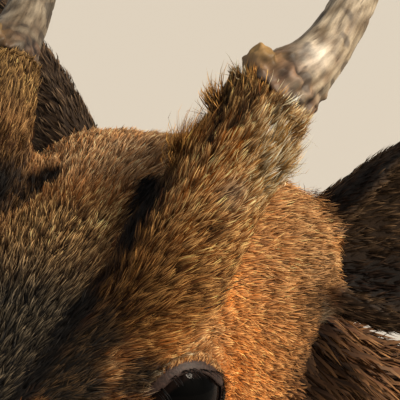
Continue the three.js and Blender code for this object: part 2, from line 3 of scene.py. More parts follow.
import bpy
import numpy as np
from mathutils import Matrix, Vector
from mathutils.bvhtree import BVHTree
from mathutils.kdtree import KDTree


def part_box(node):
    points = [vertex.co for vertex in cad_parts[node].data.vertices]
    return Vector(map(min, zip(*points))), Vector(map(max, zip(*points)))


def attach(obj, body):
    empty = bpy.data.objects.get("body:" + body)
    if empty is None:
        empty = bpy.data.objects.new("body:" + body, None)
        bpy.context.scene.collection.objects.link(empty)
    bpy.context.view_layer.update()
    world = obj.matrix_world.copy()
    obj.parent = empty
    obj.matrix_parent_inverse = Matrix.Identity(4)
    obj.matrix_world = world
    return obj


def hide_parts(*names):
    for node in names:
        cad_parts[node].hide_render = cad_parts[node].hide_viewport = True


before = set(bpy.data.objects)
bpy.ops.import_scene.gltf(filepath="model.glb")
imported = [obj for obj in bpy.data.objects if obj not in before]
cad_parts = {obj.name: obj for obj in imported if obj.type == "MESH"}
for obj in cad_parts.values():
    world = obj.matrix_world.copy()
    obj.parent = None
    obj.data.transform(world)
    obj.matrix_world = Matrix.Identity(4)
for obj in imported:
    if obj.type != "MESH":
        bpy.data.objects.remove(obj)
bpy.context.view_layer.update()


# Head frame and camera
# The head has its own frame, in millimetres: its origin lies between the eyes, x runs to the
# animal's left, y to the back of the head and z up from the line of the face. The camera stands
# close by the left brow with a long lens, so that about 80 mm of the head fill the picture.
MM = 0.001
LEFT = 1
RIGHT = -1
SIDES = {"left": LEFT, "right": RIGHT}
HEAD_PITCH = 14  # degrees, nose down
EYE_AT = np.array([22.6, 4.3, -2.4])  # middle of the left eyeball
EYE_RADIUS = 12.2

VIEW_AIM = (23.7, 24.4, 31.5)
VIEW_AZIMUTH = 27.25  # degrees from straight ahead of the animal, towards its left
VIEW_ELEVATION = 5.34
VIEW_ROLL = 3.46
VIEW_DISTANCE = 600
VIEW_WIDTH = 80.4  # of the head, across the picture
SENSOR = 36
CLIP_START = 0.05  # metres
CLIP_END = 400

head_turn = np.array(Matrix.Rotation(math.radians(HEAD_PITCH), 3, "X"))


def middle_of(node):
    low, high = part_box(node)
    return np.array((low + high) / 2) / MM


eyes_middle = (middle_of("eye_left") + middle_of("eye_right")) / 2
head_origin = eyes_middle - head_turn @ np.array([0, *EYE_AT[1:]])


def to_head(points):
    """Points of the whole animal, in metres, as points of the head, in millimetres."""
    return (points / MM - head_origin) @ head_turn


def from_head(points):
    """Points of the head, in millimetres, as points of the whole animal, in metres."""
    return (np.asarray(points, float) @ head_turn.T + head_origin) * MM


def place_camera():
    azimuth = math.radians(VIEW_AZIMUTH)
    elevation = math.radians(VIEW_ELEVATION)
    back = Vector((math.sin(azimuth), -math.cos(azimuth), 0)) * math.cos(elevation)
    back.z = math.sin(elevation)
    data = bpy.data.cameras.new("camera")
    data.sensor_width = SENSOR
    data.lens = SENSOR * VIEW_DISTANCE / VIEW_WIDTH
    data.clip_start = CLIP_START
    data.clip_end = CLIP_END
    camera = bpy.data.objects.new("camera", data)
    roll = Matrix.Rotation(math.radians(VIEW_ROLL), 3, "Z")
    turn = back.to_track_quat("Z", "Y").to_matrix() @ roll
    place = Vector(from_head(VIEW_AIM)) + back * VIEW_DISTANCE * MM
    camera.matrix_world = Matrix.Translation(place) @ turn.to_4x4()
    bpy.context.scene.collection.objects.link(camera)
    bpy.context.scene.camera = camera


place_camera()


# Skin
# One closed hide over the head, ears, pedicles, neck, trunk, tail and legs, as a taxidermist
# pulls a tanned skin over a form. It is fused from the flesh solids, finer on the head than on the
# body, smoothed, and then drawn in by the depth of the coat that grows on it.
LIMBS = [f"{end}_{side}" for end in ("foreleg", "hindleg") for side in SIDES]
HEAD_FLESH = ["head", *(f"{part}_{side}" for part in ("ear", "pedicle") for side in SIDES)]
BODY_FLESH = ["torso", "tail", *LIMBS]
FLESH = [*HEAD_FLESH, "neck", *BODY_FLESH]
REGIONS = ["head", "ear", "pedicle", "neck", "torso", "tail", "leg"]
JOIN = 0.32  # mm that each flesh solid swells, so that neighbours meet across their 0.3 mm gap
HEAD_VOXEL = 1.05  # mm
BODY_VOXEL = 3.2
NECK_AXIS = np.array([0, 0.64, -0.77])  # from the head to the trunk
NECK_CUT = 34  # mm from the middle of the neck towards the head, where the halves of the skin meet
NECK_OVERLAP = 14  # mm past that cut that each half of the skin reaches
NECK_DIP = 0.16  # how far each half narrows there, so that the halves cross along one line
CUTTER_REACH = 200  # mm, half the size of the block that cuts the neck
BLEND_SHARE = 0.7  # of the way to its neighbours' mean that a value moves in one round
BLEND_ROUNDS = 8  # over which the values of one region run into the next
SKIN_ROUNDS = 14  # of smoothing over the whole skin
TRUNK_ROUNDS = 26  # more of it on the broad flanks
LID_ZONE = (2.5, 7)  # mm off the eyeball where the zone of the lids starts to fade and where it ends
WELD_DIGITS = 7  # decimals of a metre that points at one place share


def region_of(node):
    return "leg" if node in LIMBS else node.split("_")[0]


def read(items, key, columns, kind):
    """One property of all the points, edges or faces of a mesh, with a row for each."""
    flat = np.empty(len(items) * columns, kind)
    items.foreach_get(key, flat)
    return flat.reshape(-1, columns)


def points_of(obj):
    return read(obj.data.vertices, "co", 3, np.float32).astype(float)


def edges_of(obj):
    return read(obj.data.edges, "vertices", 2, np.int32)


def triangles_of(obj):
    obj.data.calc_loop_triangles()
    return read(obj.data.loop_triangles, "vertices", 3, np.int32)


def move_points(obj, points):
    """Moves the points of a mesh, in metres, and shades its faces smooth."""
    obj.data.vertices.foreach_set("co", points.astype(np.float32).ravel())
    obj.data.polygons.foreach_set("use_smooth", np.ones(len(obj.data.polygons), bool))
    obj.data.update()


def welded(obj):
    """Points and triangles of an object, with points at one place made one."""
    points, triangles = points_of(obj), triangles_of(obj)
    rounded = np.round(points, WELD_DIGITS)
    _, first, index = np.unique(rounded, axis=0, return_index=True, return_inverse=True)
    triangles = index.reshape(-1)[triangles]
    a, b, c = triangles.T
    return points[first], triangles[(a != b) & (b != c) & (c != a)]


def summed(index, values, size):
    """The rows of some values, added up by index."""
    return np.stack([np.bincount(index, column, size) for column in values.T], 1)


def unit(vectors):
    return vectors / np.maximum(np.linalg.norm(vectors, axis=-1, keepdims=True), 1e-12)


def normals_of(points, triangles):
    a, b, c = (points[triangles[:, k]] for k in range(3))
    faces = np.cross(b - a, c - a)
    return unit(sum(summed(triangles[:, k], faces, len(points)) for k in range(3)))


def relaxed(values, edges, share, rounds):
    """Values at the points of a mesh, each moved towards the mean of its neighbours."""
    size = len(values)
    ends = np.concatenate([edges[:, 0], edges[:, 1]])
    others = np.concatenate([edges[:, 1], edges[:, 0]])
    count = np.maximum(np.bincount(ends, minlength=size), 1)[:, None]
    share = np.broadcast_to(np.asarray(share, float), (size,))[:, None]
    for _ in range(rounds):
        values = values + share * (summed(ends, values[others], size) / count - values)
    return values


def mesh_object(name, points, faces):
    """A new smooth object from points and from faces that all have the same number of corners."""
    mesh = bpy.data.meshes.new(name)
    mesh.vertices.add(len(points))
    mesh.vertices.foreach_set("co", np.asarray(points, np.float32).ravel())
    mesh.loops.add(faces.size)
    mesh.loops.foreach_set("vertex_index", np.asarray(faces, np.int32).ravel())
    mesh.polygons.add(len(faces))
    mesh.polygons.foreach_set("loop_start", np.arange(0, faces.size, faces.shape[1], dtype=np.int32))
    mesh.polygons.foreach_set("use_smooth", np.ones(len(faces), bool))
    mesh.update(calc_edges=True)
    obj = bpy.data.objects.new(name, mesh)
    bpy.context.scene.collection.objects.link(obj)
    return obj


def stacked(parts):
    """Several (points, triangles) as one."""
    starts = np.cumsum([0, *(len(points) for points, _ in parts)])
    points = np.concatenate([points for points, _ in parts])
    return points, np.concatenate([faces + start for (_, faces), start in zip(parts, starts)])


def remove(obj):
    mesh = obj.data
    bpy.data.objects.remove(obj)
    bpy.data.meshes.remove(mesh)


def modified(obj, kind, **settings):
    """The object with one modifier added and applied."""
    modifier = obj.modifiers.new(kind, kind)
    for key, value in settings.items():
        setattr(modifier, key, value)
    plain = obj.data
    changed = obj.evaluated_get(bpy.context.evaluated_depsgraph_get())
    obj.data = bpy.data.meshes.new_from_object(changed)
    obj.modifiers.clear()
    bpy.data.meshes.remove(plain)
    return obj


def swollen(node):
    """The points and triangles of a flesh solid that reaches into its neighbours."""
    points, triangles = welded(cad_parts[node])
    return points + normals_of(points, triangles) * JOIN * MM, triangles


def remeshed(name, parts, voxel):
    """One closed mesh round several solids, with squares of a voxel's size in millimetres."""
    solid = mesh_object(name, *stacked(parts))
    return modified(solid, "REMESH", mode="VOXEL", voxel_size=voxel * MM, adaptivity=0)


def step(start, end, value):
    """0 before start, 1 after end, and smooth between them."""
    t = np.clip((value - start) / (end - start), 0, 1)
    return t * t * (3 - 2 * t)


neck_cut = middle_of("neck") - NECK_CUT * NECK_AXIS


def half_of_neck(way):
    """Half of the neck and a little more: way is -1 for the head's half and 1 for the trunk's."""
    block = Matrix.LocRotScale(
        Vector((neck_cut + NECK_AXIS * way * (CUTTER_REACH - NECK_OVERLAP)) * MM),
        Vector(NECK_AXIS).to_track_quat("Z", "Y"),
        Vector([CUTTER_REACH * MM] * 3),
    )
    corners = [(x, y, z) for x in (-1, 1) for y in (-1, 1) for z in (-1, 1)]
    points = np.array([block @ Vector(corner) for corner in corners])
    sides = [(0, 1, 3, 2), (4, 6, 7, 5), (0, 4, 5, 1), (2, 3, 7, 6), (0, 2, 6, 4), (1, 5, 7, 3)]
    cutter = mesh_object("cutter", points, np.array(sides))
    half = mesh_object("half", *swollen("neck"))
    modified(half, "BOOLEAN", operation="INTERSECT", solver="MANIFOLD", object=cutter)
    result = welded(half)
    remove(cutter)
    remove(half)
    return result


def dip_at_neck(obj, way):
    """Narrows the end of one half of the skin where it runs into the other."""
    points = points_of(obj) / MM - neck_cut
    along = points @ NECK_AXIS
    spine = along[:, None] * NECK_AXIS
    past = step(-NECK_OVERLAP, NECK_OVERLAP, -way * along) * (np.abs(along) < 4 * NECK_OVERLAP)
    points = spine + (points - spine) * (1 - NECK_DIP * past[:, None])
    move_points(obj, (points + neck_cut) * MM)


def fused_skin():
    head_parts = [swollen(node) for node in HEAD_FLESH]
    body_parts = [swollen(node) for node in BODY_FLESH]
    front = remeshed("skin", [*head_parts, half_of_neck(-1)], HEAD_VOXEL)
    back = remeshed("back", [*body_parts, half_of_neck(1)], BODY_VOXEL)
    dip_at_neck(front, -1)
    dip_at_neck(back, 1)
    modified(front, "BOOLEAN", operation="UNION", solver="MANIFOLD", object=back)
    remove(back)
    return front


skin = fused_skin()
skin_edges = edges_of(skin)
skin_points = points_of(skin)

flesh_parts = [welded(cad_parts[node]) for node in FLESH]
flesh_tree = BVHTree.FromPolygons(*(rows.tolist() for rows in stacked(flesh_parts)))
flesh_node_of_face = np.repeat(np.arange(len(FLESH)), [len(faces) for _, faces in flesh_parts])
nearest_faces = [flesh_tree.find_nearest(point)[2] for point in skin_points.tolist()]
skin_node = flesh_node_of_face[nearest_faces]
region_of_node = np.array([REGIONS.index(region_of(node)) for node in FLESH])
own_region = np.eye(len(REGIONS))[region_of_node[skin_node]]
region_share = relaxed(own_region, skin_edges, BLEND_SHARE, BLEND_ROUNDS)
on = {region: region_share[:, k] for k, region in enumerate(REGIONS)}


def by_region(**values):
    """One value, or one vector, for each region, blended where regions meet."""
    return region_share @ np.array([values[region] for region in REGIONS], float)


def mirrored_head(points):
    """Head coordinates with the right side folded onto the left."""
    folded = to_head(points)
    folded[:, 0] = np.abs(folded[:, 0])
    return folded


def ball(points, centre, reach):
    """1 at a place, falling smoothly to 0 at about twice its reach along x, y and z."""
    return np.exp(-np.sum(((points - np.array(centre)) / np.array(reach)) ** 2, axis=1))


def near(distance, width):
    """1 at no distance, falling smoothly to 0 at about twice a width."""
    return np.exp(-((distance / width) ** 2))


near_eye = np.linalg.norm(mirrored_head(skin_points) - EYE_AT, axis=1)
at_lids = 1 - step(EYE_RADIUS + LID_ZONE[0], EYE_RADIUS + LID_ZONE[1], near_eye)

# How much each region is smoothed: least where the form is fine
smoothing = by_region(head=0.6, ear=0.25, pedicle=0.5, neck=0.6, torso=0.7, tail=0.5, leg=0.35)
smoothing = smoothing * (1 - 0.75 * at_lids)
skin_points = relaxed(skin_points, skin_edges, smoothing, SKIN_ROUNDS)
on_trunk = step(0.5, 0.9, on["torso"])
skin_points = relaxed(skin_points, skin_edges, BLEND_SHARE * on_trunk, TRUNK_ROUNDS)


def distance_to_line(points, line):
    """How far each point is from a line of points, and how far along it the nearest place is."""
    line = np.array(line, float)
    best = np.full(len(points), np.inf)
    place = np.zeros(len(points))
    lengths = np.linalg.norm(np.diff(line, axis=0), axis=1)
    total = lengths.sum()
    done = 0
    for start, end, length in zip(line[:-1], line[1:], lengths):
        t = np.clip((points - start) @ (end - start) / length**2, 0, 1)
        away = np.linalg.norm(points - start - t[:, None] * (end - start), axis=1)
        nearer = away < best
        best = np.where(nearer, away, best)
        place = np.where(nearer, (done + t * length) / total, place)
        done += length
    return best, place


# The depth of the coat in millimetres, by which the skin lies under the solids
coat_depth = by_region(head=1.5, ear=0.3, pedicle=2.0, neck=2.6, torso=3.8, tail=3.6, leg=1.4)
head_points = mirrored_head(skin_points)
muzzle = step(-30, -52, head_points[:, 1]) * on["head"]
coat_depth = coat_depth * (1 - 0.55 * muzzle)
coat_depth = coat_depth * (1 - 0.85 * at_lids)
coat_depth = relaxed(coat_depth[:, None], skin_edges, BLEND_SHARE, BLEND_ROUNDS)[:, 0]

skin_triangles = triangles_of(skin)
skin_normals = normals_of(skin_points, skin_triangles)
skin_points = skin_points - skin_normals * coat_depth[:, None] * MM

# The opening between the lids, on a plane across the gaze of the eye
EYE_GAZE = unit(np.array([0.88, -0.42, 0.2]))
EYE_BACK = unit(np.array([0, 1, 0]) - EYE_GAZE[1] * EYE_GAZE)
EYE_UP = np.cross(EYE_GAZE, EYE_BACK)
LID_LENGTH = 24
LID_HEIGHT = 17.5
LID_TILT = math.radians(-9)
LID_TURN = np.array([[math.cos(LID_TILT), math.sin(LID_TILT)], [-math.sin(LID_TILT), math.cos(LID_TILT)]])
LID_STEPS = 40  # along each lid


def bezier(ends, places):
    a, b, c, d = (np.array(point, float) for point in ends)
    t = np.asarray(places)[:, None]
    return (1 - t) ** 3 * a + 3 * (1 - t) ** 2 * t * b + 3 * (1 - t) * t**2 * c + t**3 * d


def lid_outline():
    """The open lids as seen along the gaze: the upper from front to back, then the lower."""
    a = LID_LENGTH / 2
    b = LID_HEIGHT / 2
    t = np.linspace(0, 1, LID_STEPS, endpoint=False)
    # The handles of the two curves set how full each lid is
    upper = bezier([(-a, 0), (-a * 0.62, b * 1.12), (a * 0.45, b * 1.3), (a, 0)], t)
    lower = bezier([(a, 0), (a * 0.5, -b * 1.16), (-a * 0.55, -b * 1.16), (-a, 0)], t)
    return np.concatenate([upper, lower]) @ LID_TURN


def from_lids(points):
    """How far points of the head are from the edge of the open lids, as seen along the gaze."""
    off = points - EYE_AT
    flat = np.stack([off @ EYE_BACK, off @ EYE_UP], 1)
    outline = lid_outline()
    away, _ = distance_to_line(flat, np.concatenate([outline, outline[:1]]))
    long, high = (flat @ LID_TURN.T).T
    # An ellipse that just fits the outline tells the opening from the skin round it
    inside = np.hypot(long / (LID_LENGTH / 2), high / (LID_HEIGHT / 2)) < 0.97
    return np.where(off @ EYE_GAZE < 0, np.inf, np.where(inside, -away, away))


# Folds of the face: the closed lips, the tear gland before the eye and the crease over the lid
MOUTH = [(-92, -26.4), (-82, -26.5), (-74, -28.6), (-66, -30), (-57, -29.4), (-50, -27.5)]  # y, z
MOUTH_WIDTH = 1.1
MOUTH_DEPTH = 1.3
GLAND_AT = np.array([25, -20.5, -5.5])
GLAND_AXIS = np.array([0.1, 0.92, 0.36])
GLAND_LENGTH = 9
GLAND_WIDTH = 1.8
GLAND_DEPTH = 1.7
LID_CREASES = ((15.6, 0.55), (18.6, 0.4))  # distance from the middle of the eye, depth
LID_CREASE_WIDTH = 0.9


def face_folds():
    """How deep the skin of the face is folded in, at each point of the skin."""
    points = mirrored_head(skin_points)
    lips, _ = distance_to_line(points[:, 1:], MOUTH)
    depth = MOUTH_DEPTH * near(lips, MOUTH_WIDTH)
    off = points - GLAND_AT
    along = off @ GLAND_AXIS
    across = np.linalg.norm(off - along[:, None] * GLAND_AXIS, axis=1)
    gland = np.exp(-((along / GLAND_LENGTH) ** 4) - (across / GLAND_WIDTH) ** 2)
    depth = depth + GLAND_DEPTH * gland
    over_eye = step(-2, 6, points[:, 2] - EYE_AT[2]) * step(8, 2, np.abs(points[:, 1] - EYE_AT[1]) - 8)
    away = np.linalg.norm(points - EYE_AT, axis=1)
    for distance, crease in LID_CREASES:
        depth = depth + crease * over_eye * near(away - distance, LID_CREASE_WIDTH)
    return depth * on["head"]


skin_points = skin_points - skin_normals * face_folds()[:, None] * MM
move_points(skin, skin_points)
skin_normals = normals_of(skin_points, skin_triangles)
head_points = mirrored_head(skin_points)
body_points = skin_points / MM - np.array([head_origin[0], 0, 0])


# Markings and hide
# Chestnut back and flanks, pale throat, belly and inner thighs, dark legs, a tail white below and,
# on the face, two black stripes that run from the pedicles to the muzzle as a V. Every hair is dark
# at its root and pale at its tip, so each place has three colours: of the root, middle and tip.
def linear(colour):
    """An sRGB hex colour as linear red, green and blue."""
    parts = np.array([int(colour[k : k + 2], 16) for k in (1, 3, 5)]) / 255
    return np.where(parts <= 0.04045, parts / 12.92, ((parts + 0.055) / 1.055) ** 2.4)


def hair(root, middle, tip):
    """The three colours of a hair as one row of nine values."""
    return np.concatenate([linear(root), linear(middle), linear(tip)])


CHESTNUT = hair("#2b1b12", "#704a2d", "#a27348")
NAPE = hair("#22150d", "#5c3a22", "#8a6440")
FACE = hair("#703912", "#cf7c34", "#f4b069")
EAR_BACK = hair("#18100a", "#4a3727", "#7d664e")
PEDICLE = hair("#080301", "#925318", "#ffc884")
PEDICLE_FOOT_HAIR = hair("#080301", "#623813", "#c48c4a")
TAIL_TOP = hair("#3a1f10", "#8f4f24", "#b97640")
DARK_LEG = hair("#150d08", "#3a2416", "#604229")
BLACK_STRIPE = hair("#020101", "#070403", "#120b06")
FOREHEAD = hair("#080301", "#63401c", "#e4b578")
DARK_FOREHEAD = hair("#010101", "#0d0905", "#786a55")
DARK_BROW = hair("#020201", "#140e08", "#4a3722")
BROWN_BROW = hair("#0a0402", "#4c2f18", "#b08658")
TAN_BROW = hair("#4c280e", "#b87c42", "#f2c086")
GREY_PATCH = hair("#120904", "#644428", "#c09a6e")
POLL = hair("#4c2e1c", "#bf8752", "#efc490")
MUZZLE_TOP = hair("#0c0806", "#2a1d13", "#4d3a28")
PALE_LIP = hair("#8a7860", "#c8b898", "#e6dcc6")
PALE_FUR = hair("#a08c6c", "#d6c8a8", "#efe6d2")
EAR_INSIDE = hair("#1e140d", "#41301f", "#6d563e")
EAR_EDGE_SHADE = hair("#060302", "#160d07", "#33231a")
EAR_ROOT = hair("#4a2c14", "#a8723f", "#e0b07a")
# Painted shade behind the cheek, under the ear
CHEEK_SHADE = hair("#160b04", "#4a2c14", "#7c5430")
STRAW_TUFT = hair("#3a2410", "#c79650", "#fff0c8")
GREY_TUFT = hair("#1a120c", "#7b6650", "#d4c0a6")
GOLD_TUFT = hair("#120702", "#865020", "#eab062")
# Painted shade for the partings in the coat
PARTING_SHADE = hair("#050302", "#0b0603", "#1c1008")
BARE_TOP = hair("#2a180e", "#6e5334", "#cfa668")

# Lines and marks are given for the left of the face and painted on both sides.
# The stripe's line from the front of the pedicle down the face, and its half width there and below
STRIPE = [
    (12, 26, 32.5), (14.8, 16, 30.4), (18.4, 7, 29.1), (18.4, 3.9, 27), (16.7, -0.5, 23),
    (15.2, -3.8, 20.5), (13.5, -9, 17.3), (12.4, -14.2, 14.2), (12, -21, 10.5), (11.6, -28.2, 7),
    (10, -42, 4), (7.5, -56, 0.5),
]
STRIPE_HALF_WIDTH = (3.1, 1.8)
# The dark forehead between the stripes: places from its back to its front and half its width there
FOREHEAD_HALF = ((30, 13), (18, 15.5), (5, 18.4), (-9.6, 13.3), (-24.8, 11.8), (-46, 9.5), (-58, 7.5))
PEDICLE_FOOT = np.array([18.2, -6, 3.5])
PEDICLE_TOP = np.array([32.8, 41.3, 50.4])
PEDICLE_LENGTH = 73  # to the coronet
PEDICLE_RADIUS = 9
STALK_AXIS = unit(PEDICLE_TOP - PEDICLE_FOOT)
STALK_OUTER = unit(np.array([0.89, 0.153, -0.43]))  # across the pedicle, to its outer side
FURROW_WIDTH = 1.1
# Lines down the upper pedicle where the hair parts over a furrow of its skin
FURROWS_IN_SKIN = (
    [(28.2, 32.1, 52.3), (28.4, 27.8, 48.7), (28.0, 24.3, 45.6), (27.6, 21, 42.8)],
    [(34.2, 31.5, 53.2), (33.0, 29.4, 50.4), (31.9, 25.6, 46.6)],
    [(37.6, 35.5, 52.0), (37.2, 32.0, 48.5)],
)
# Marks of the face: place, reach, share and hairs
MARKS = (
    ((22.5, -2, 20), (7, 7, 6.5), 1.5, BROWN_BROW),
    ((20.4, -9, 15.5), (5, 8, 5.5), 1.8, DARK_BROW),
    ((18, -20, 8), (6, 9, 6), 2.4, DARK_BROW),
    ((25, -11, 5), (5, 6, 5), 1.2, DARK_BROW),
    ((16.6, -13, 13.5), (2.6, 4.5, 3), 2.0, DARK_BROW),
    ((23, -13.4, 8.6), (1.5, 2, 2), 0.6, TAN_BROW),
    ((32.2, 5, 7.6), (8, 12, 5.5), 1.3, TAN_BROW),
    ((27.4, -7.4, 7.6), (3.6, 3.8, 4), 1.9, DARK_BROW),
    ((29.5, 0.5, 21), (5, 7, 6), 0.8, GREY_PATCH),
    # Painted shade: two dark patches behind the cheek, under the ear
    ((33, 52, -15), (9, 11, 13), 1.1, CHEEK_SHADE),
    ((38.5, 49.5, 4), (6, 6, 10), 1.8, CHEEK_SHADE),
    ((38, 30.4, 43.9), (3.2, 5, 6), 1.2, STRAW_TUFT),
    ((37.3, 27.6, 37), (2.8, 5, 5), 1.2, STRAW_TUFT),
    ((34.3, 17.8, 35.6), (2.5, 3, 3), 0.8, GREY_TUFT),
    ((22, 22.5, 40.5), (4.5, 5, 5), 1.2, GOLD_TUFT),
    ((26.6, 29.6, 48.6), (3.4, 4, 4), 1.2, GOLD_TUFT),
    # Painted shade: a small dark spot in the hair
    ((33.2, 12.4, 30.4), (1.4, 2, 1.5), 1.4, PARTING_SHADE),
    ((2, 40, 34), (2.5, 4.5, 3), 0.6, GREY_TUFT),
)

face_x, face_y, face_z = head_points.T
skin_side = np.where(to_head(skin_points)[:, :1] < 0, RIGHT, LEFT)
normal_in_head = skin_normals @ head_turn
normal_in_head[:, :1] *= skin_side
out_x, out_y, out_z = normal_in_head.T
off_stalk = head_points - PEDICLE_FOOT
is_left_skin = to_head(skin_points)[:, 0] > 0
up_pedicle = off_stalk @ STALK_AXIS / PEDICLE_LENGTH  # 0 at the foot, 1 at the coronet
across_stalk = np.clip(off_stalk @ STALK_OUTER / PEDICLE_RADIUS, -1, 1)
bare_top = step(0.74 + 0.1 * across_stalk, 0.98 + 0.1 * across_stalk, up_pedicle)

colours = by_region(
    head=FACE, ear=EAR_BACK, pedicle=PEDICLE, neck=CHESTNUT, torso=CHESTNUT, tail=TAIL_TOP, leg=DARK_LEG
)


def blend(one, other, share):
    return one + (other - one) * share


def paint(mask, hairs):
    """Lays a mark's three hair colours over those that are there."""
    colours[:] = blend(colours, hairs, np.clip(mask, 0, 1)[:, None])


def paint_face():
    on_front = on["head"] + on["pedicle"]
    stripe_away, stripe_place = distance_to_line(head_points, STRIPE)
    edge_y, edge_x = np.array(FOREHEAD_HALF).T
    forehead_half = np.interp(-face_y, -edge_y, edge_x)
    between = step(1.5, -1.5, face_x - forehead_half) * step(-0.1, 0.35, out_z)
    paint(on["head"] * step(12, 30, face_y) * step(-0.1, 0.5, out_z) * step(30, 20, face_x), POLL)
    paint(on["head"] * between * step(28, 12, face_y), FOREHEAD)
    paint(on["head"] * between * step(13, -10, face_y), DARK_FOREHEAD)
    for place, reach, share, hairs in MARKS:
        paint(on_front * share * ball(head_points, place, reach), hairs)
    paint(on["head"] * step(-38, -56, face_y) * step(-14, -6, face_z), MUZZLE_TOP)
    paint(on["head"] * step(-24, -31, face_z) * step(30, 10, face_y), PALE_LIP)
    paint(on["head"] * step(-0.35, -0.8, out_z) * step(-70, -50, face_y), PALE_FUR)
    paint(on["head"] * ball(head_points, (15, -74, -27), (9, 14, 4)), PALE_LIP)
    half = blend(*STRIPE_HALF_WIDTH, step(0.15, 0.6, stripe_place))
    paint(on_front * step(half + 1.1, half - 0.5, stripe_away), BLACK_STRIPE)
    paint(on_front * ball(head_points, (15.5, 18, 31), (3.2, 13, 4)), BLACK_STRIPE)
    paint(1.8 * on_front * ball(head_points, (21.2, 5.6, 29.4), (3, 5.5, 4)), BLACK_STRIPE)


def paint_horn_stalks():
    inner = step(0.0, -0.45, out_x) * step(0.7, 0.5, up_pedicle)
    paint(0.8 * on["pedicle"] * step(0.62, 0.25, up_pedicle), PEDICLE_FOOT_HAIR)
    # Painted shade: the right pedicle's hair is darkened towards the brown of the brow.
    paint(0.85 * on["pedicle"] * ~is_left_skin, BROWN_BROW)
    # The inner face of the pedicle is painted black: partly the stripe's own black carried up, partly
    # painted shade on that side.
    paint(on["pedicle"] * inner, BLACK_STRIPE)
    paint(0.7 * on["pedicle"] * step(0.3, 0.12, up_pedicle) * step(0.6, 1, out_x), FACE)
    paint(on["pedicle"] * bare_top, BARE_TOP)
    # Painted shade: the hair along each furrow is darkened as the shade in its parting.
    for line in FURROWS_IN_SKIN:
        away, _ = distance_to_line(head_points, line)
        paint(on["pedicle"] * near(away, FURROW_WIDTH), PARTING_SHADE)


# The right ear is raised and its root drawn up. Both are given as for the left side.
EAR_ROOTS = {LEFT: np.array([28, 58, 8.2]), RIGHT: np.array([23, 61, 14])}
EAR_AXES = {LEFT: unit(np.array([0.87, 0.46, 0.07])), RIGHT: unit(np.array([0.89, 0.33, 0.32]))}
EAR_LENGTH = 102
EAR_BEND = np.array([-0.13, 0.02, 0.19])  # of the tip, as a share of the length
ear_root = np.where(is_left_skin[:, None], EAR_ROOTS[LEFT], EAR_ROOTS[RIGHT])
ear_axis = np.where(is_left_skin[:, None], EAR_AXES[LEFT], EAR_AXES[RIGHT])


def ear_middle():
    """The place on the middle line of the ear's cup that is level with each point of the skin."""
    along = np.sum((head_points - ear_root) * ear_axis, axis=1) / EAR_LENGTH
    along = np.clip(along, 0, 1)[:, None]
    return ear_root + (ear_axis * along + EAR_BEND * along**2) * EAR_LENGTH


def paint_ears():
    outward = unit(head_points - ear_middle())
    # Partly painted shade: the inside of the cup gets hair darker than its own colour, for the shade in its
    # hollow.
    is_inside = step(0.1, -0.3, np.sum(outward * normal_in_head, axis=1))
    paint(on["ear"] * is_inside, EAR_INSIDE)
    root_away = np.linalg.norm(head_points - ear_root, axis=1)
    # Painted shade: the upper front rim of the left ear only is painted near black.
    edge = step(-0.2, -0.6, out_y) * step(0.1, 0.5, out_z) * step(60, 30, root_away)
    paint(on["ear"] * edge * is_left_skin, EAR_EDGE_SHADE)
    paint(0.8 * on["head"] * step(34, 16, root_away) * step(-0.6, 0.2, out_z), EAR_ROOT)


def paint_body():
    x, y, z = body_points.T
    down = -skin_normals[:, 2]
    forward = -skin_normals[:, 1]
    inward = -skin_normals[:, 0] * np.sign(x)
    body = on["torso"] + on["neck"]
    paint(on["neck"] * step(0.1, 0.75, -down), NAPE)
    paint(on["torso"] * step(0.75, 0.98, -down) * step(-40, -160, y), NAPE)
    paint(0.55 * on["torso"] * step(0.6, 0.95, -down), NAPE)
    paint(body * step(0.25, 0.7, down), PALE_FUR)
    paint(on["neck"] * step(0.35, 0.8, forward * 0.77 + down * 0.64), PALE_FUR)
    paint(on["torso"] * step(0.55, 0.9, inward) * step(330, 290, z), PALE_FUR)
    paint(0.8 * on["leg"] * step(150, 260, z), CHESTNUT)
    paint(0.7 * on["leg"] * step(0.3, 0.9, inward) * step(190, 260, z), PALE_FUR)
    paint(on["tail"] * step(0.1, -0.5, skin_normals[:, 1]), PALE_FUR)
    paint(on["tail"] * step(0.75, 0.95, np.abs(skin_normals[:, 0])), PALE_FUR)
    rump = ball(body_points, (0, 318, 400), (30, 40, 66))
    paint(on["torso"] * rump * step(0.2, 0.7, skin_normals[:, 1]), PALE_FUR)


paint_face()
paint_horn_stalks()
paint_ears()
paint_body()


def add_colour(obj, name, colour):
    attribute = obj.data.color_attributes.new(name, "FLOAT_COLOR", "POINT")
    opaque = np.ones((len(colour), 4), np.float32)
    opaque[:, :3] = colour
    attribute.data.foreach_set("color", opaque.ravel())


def new_material(name):
    material = bpy.data.materials.new(name)
    material.use_nodes = True
    material.node_tree.nodes.clear()
    return material


def node(material, kind, sockets=None, **settings):
    """Adds a node with its settings, and sets each socket to a value or links it to an output."""
    tree = material.node_tree
    made = tree.nodes.new(kind)
    for key, value in settings.items():
        setattr(made, key, value)
    for key, value in (sockets or {}).items():
        if isinstance(value, bpy.types.NodeSocket):
            tree.links.new(value, made.inputs[key])
        else:
            made.inputs[key].default_value = value
    return made


def rgba(colour):
    return (*linear(colour), 1)


def mounted(obj, material):
    """Gives a piece its material and slot, and fixes it to the still body."""
    obj.data.materials.clear()
    obj.data.materials.append(material)
    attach(obj, "root")
    return obj


# Tanned hide: matt, finely pitted by the hair roots, with the coat's own colours in it.
HIDE_PORE = 0.45  # mm between pores
HIDE_STREAK = 2.4  # mm between the strands that short flat fur shows where it lies close
HIDE_ROOT_SHARE = 0.6  # of the hair roots' colour in the hide, the rest is the middles' colour


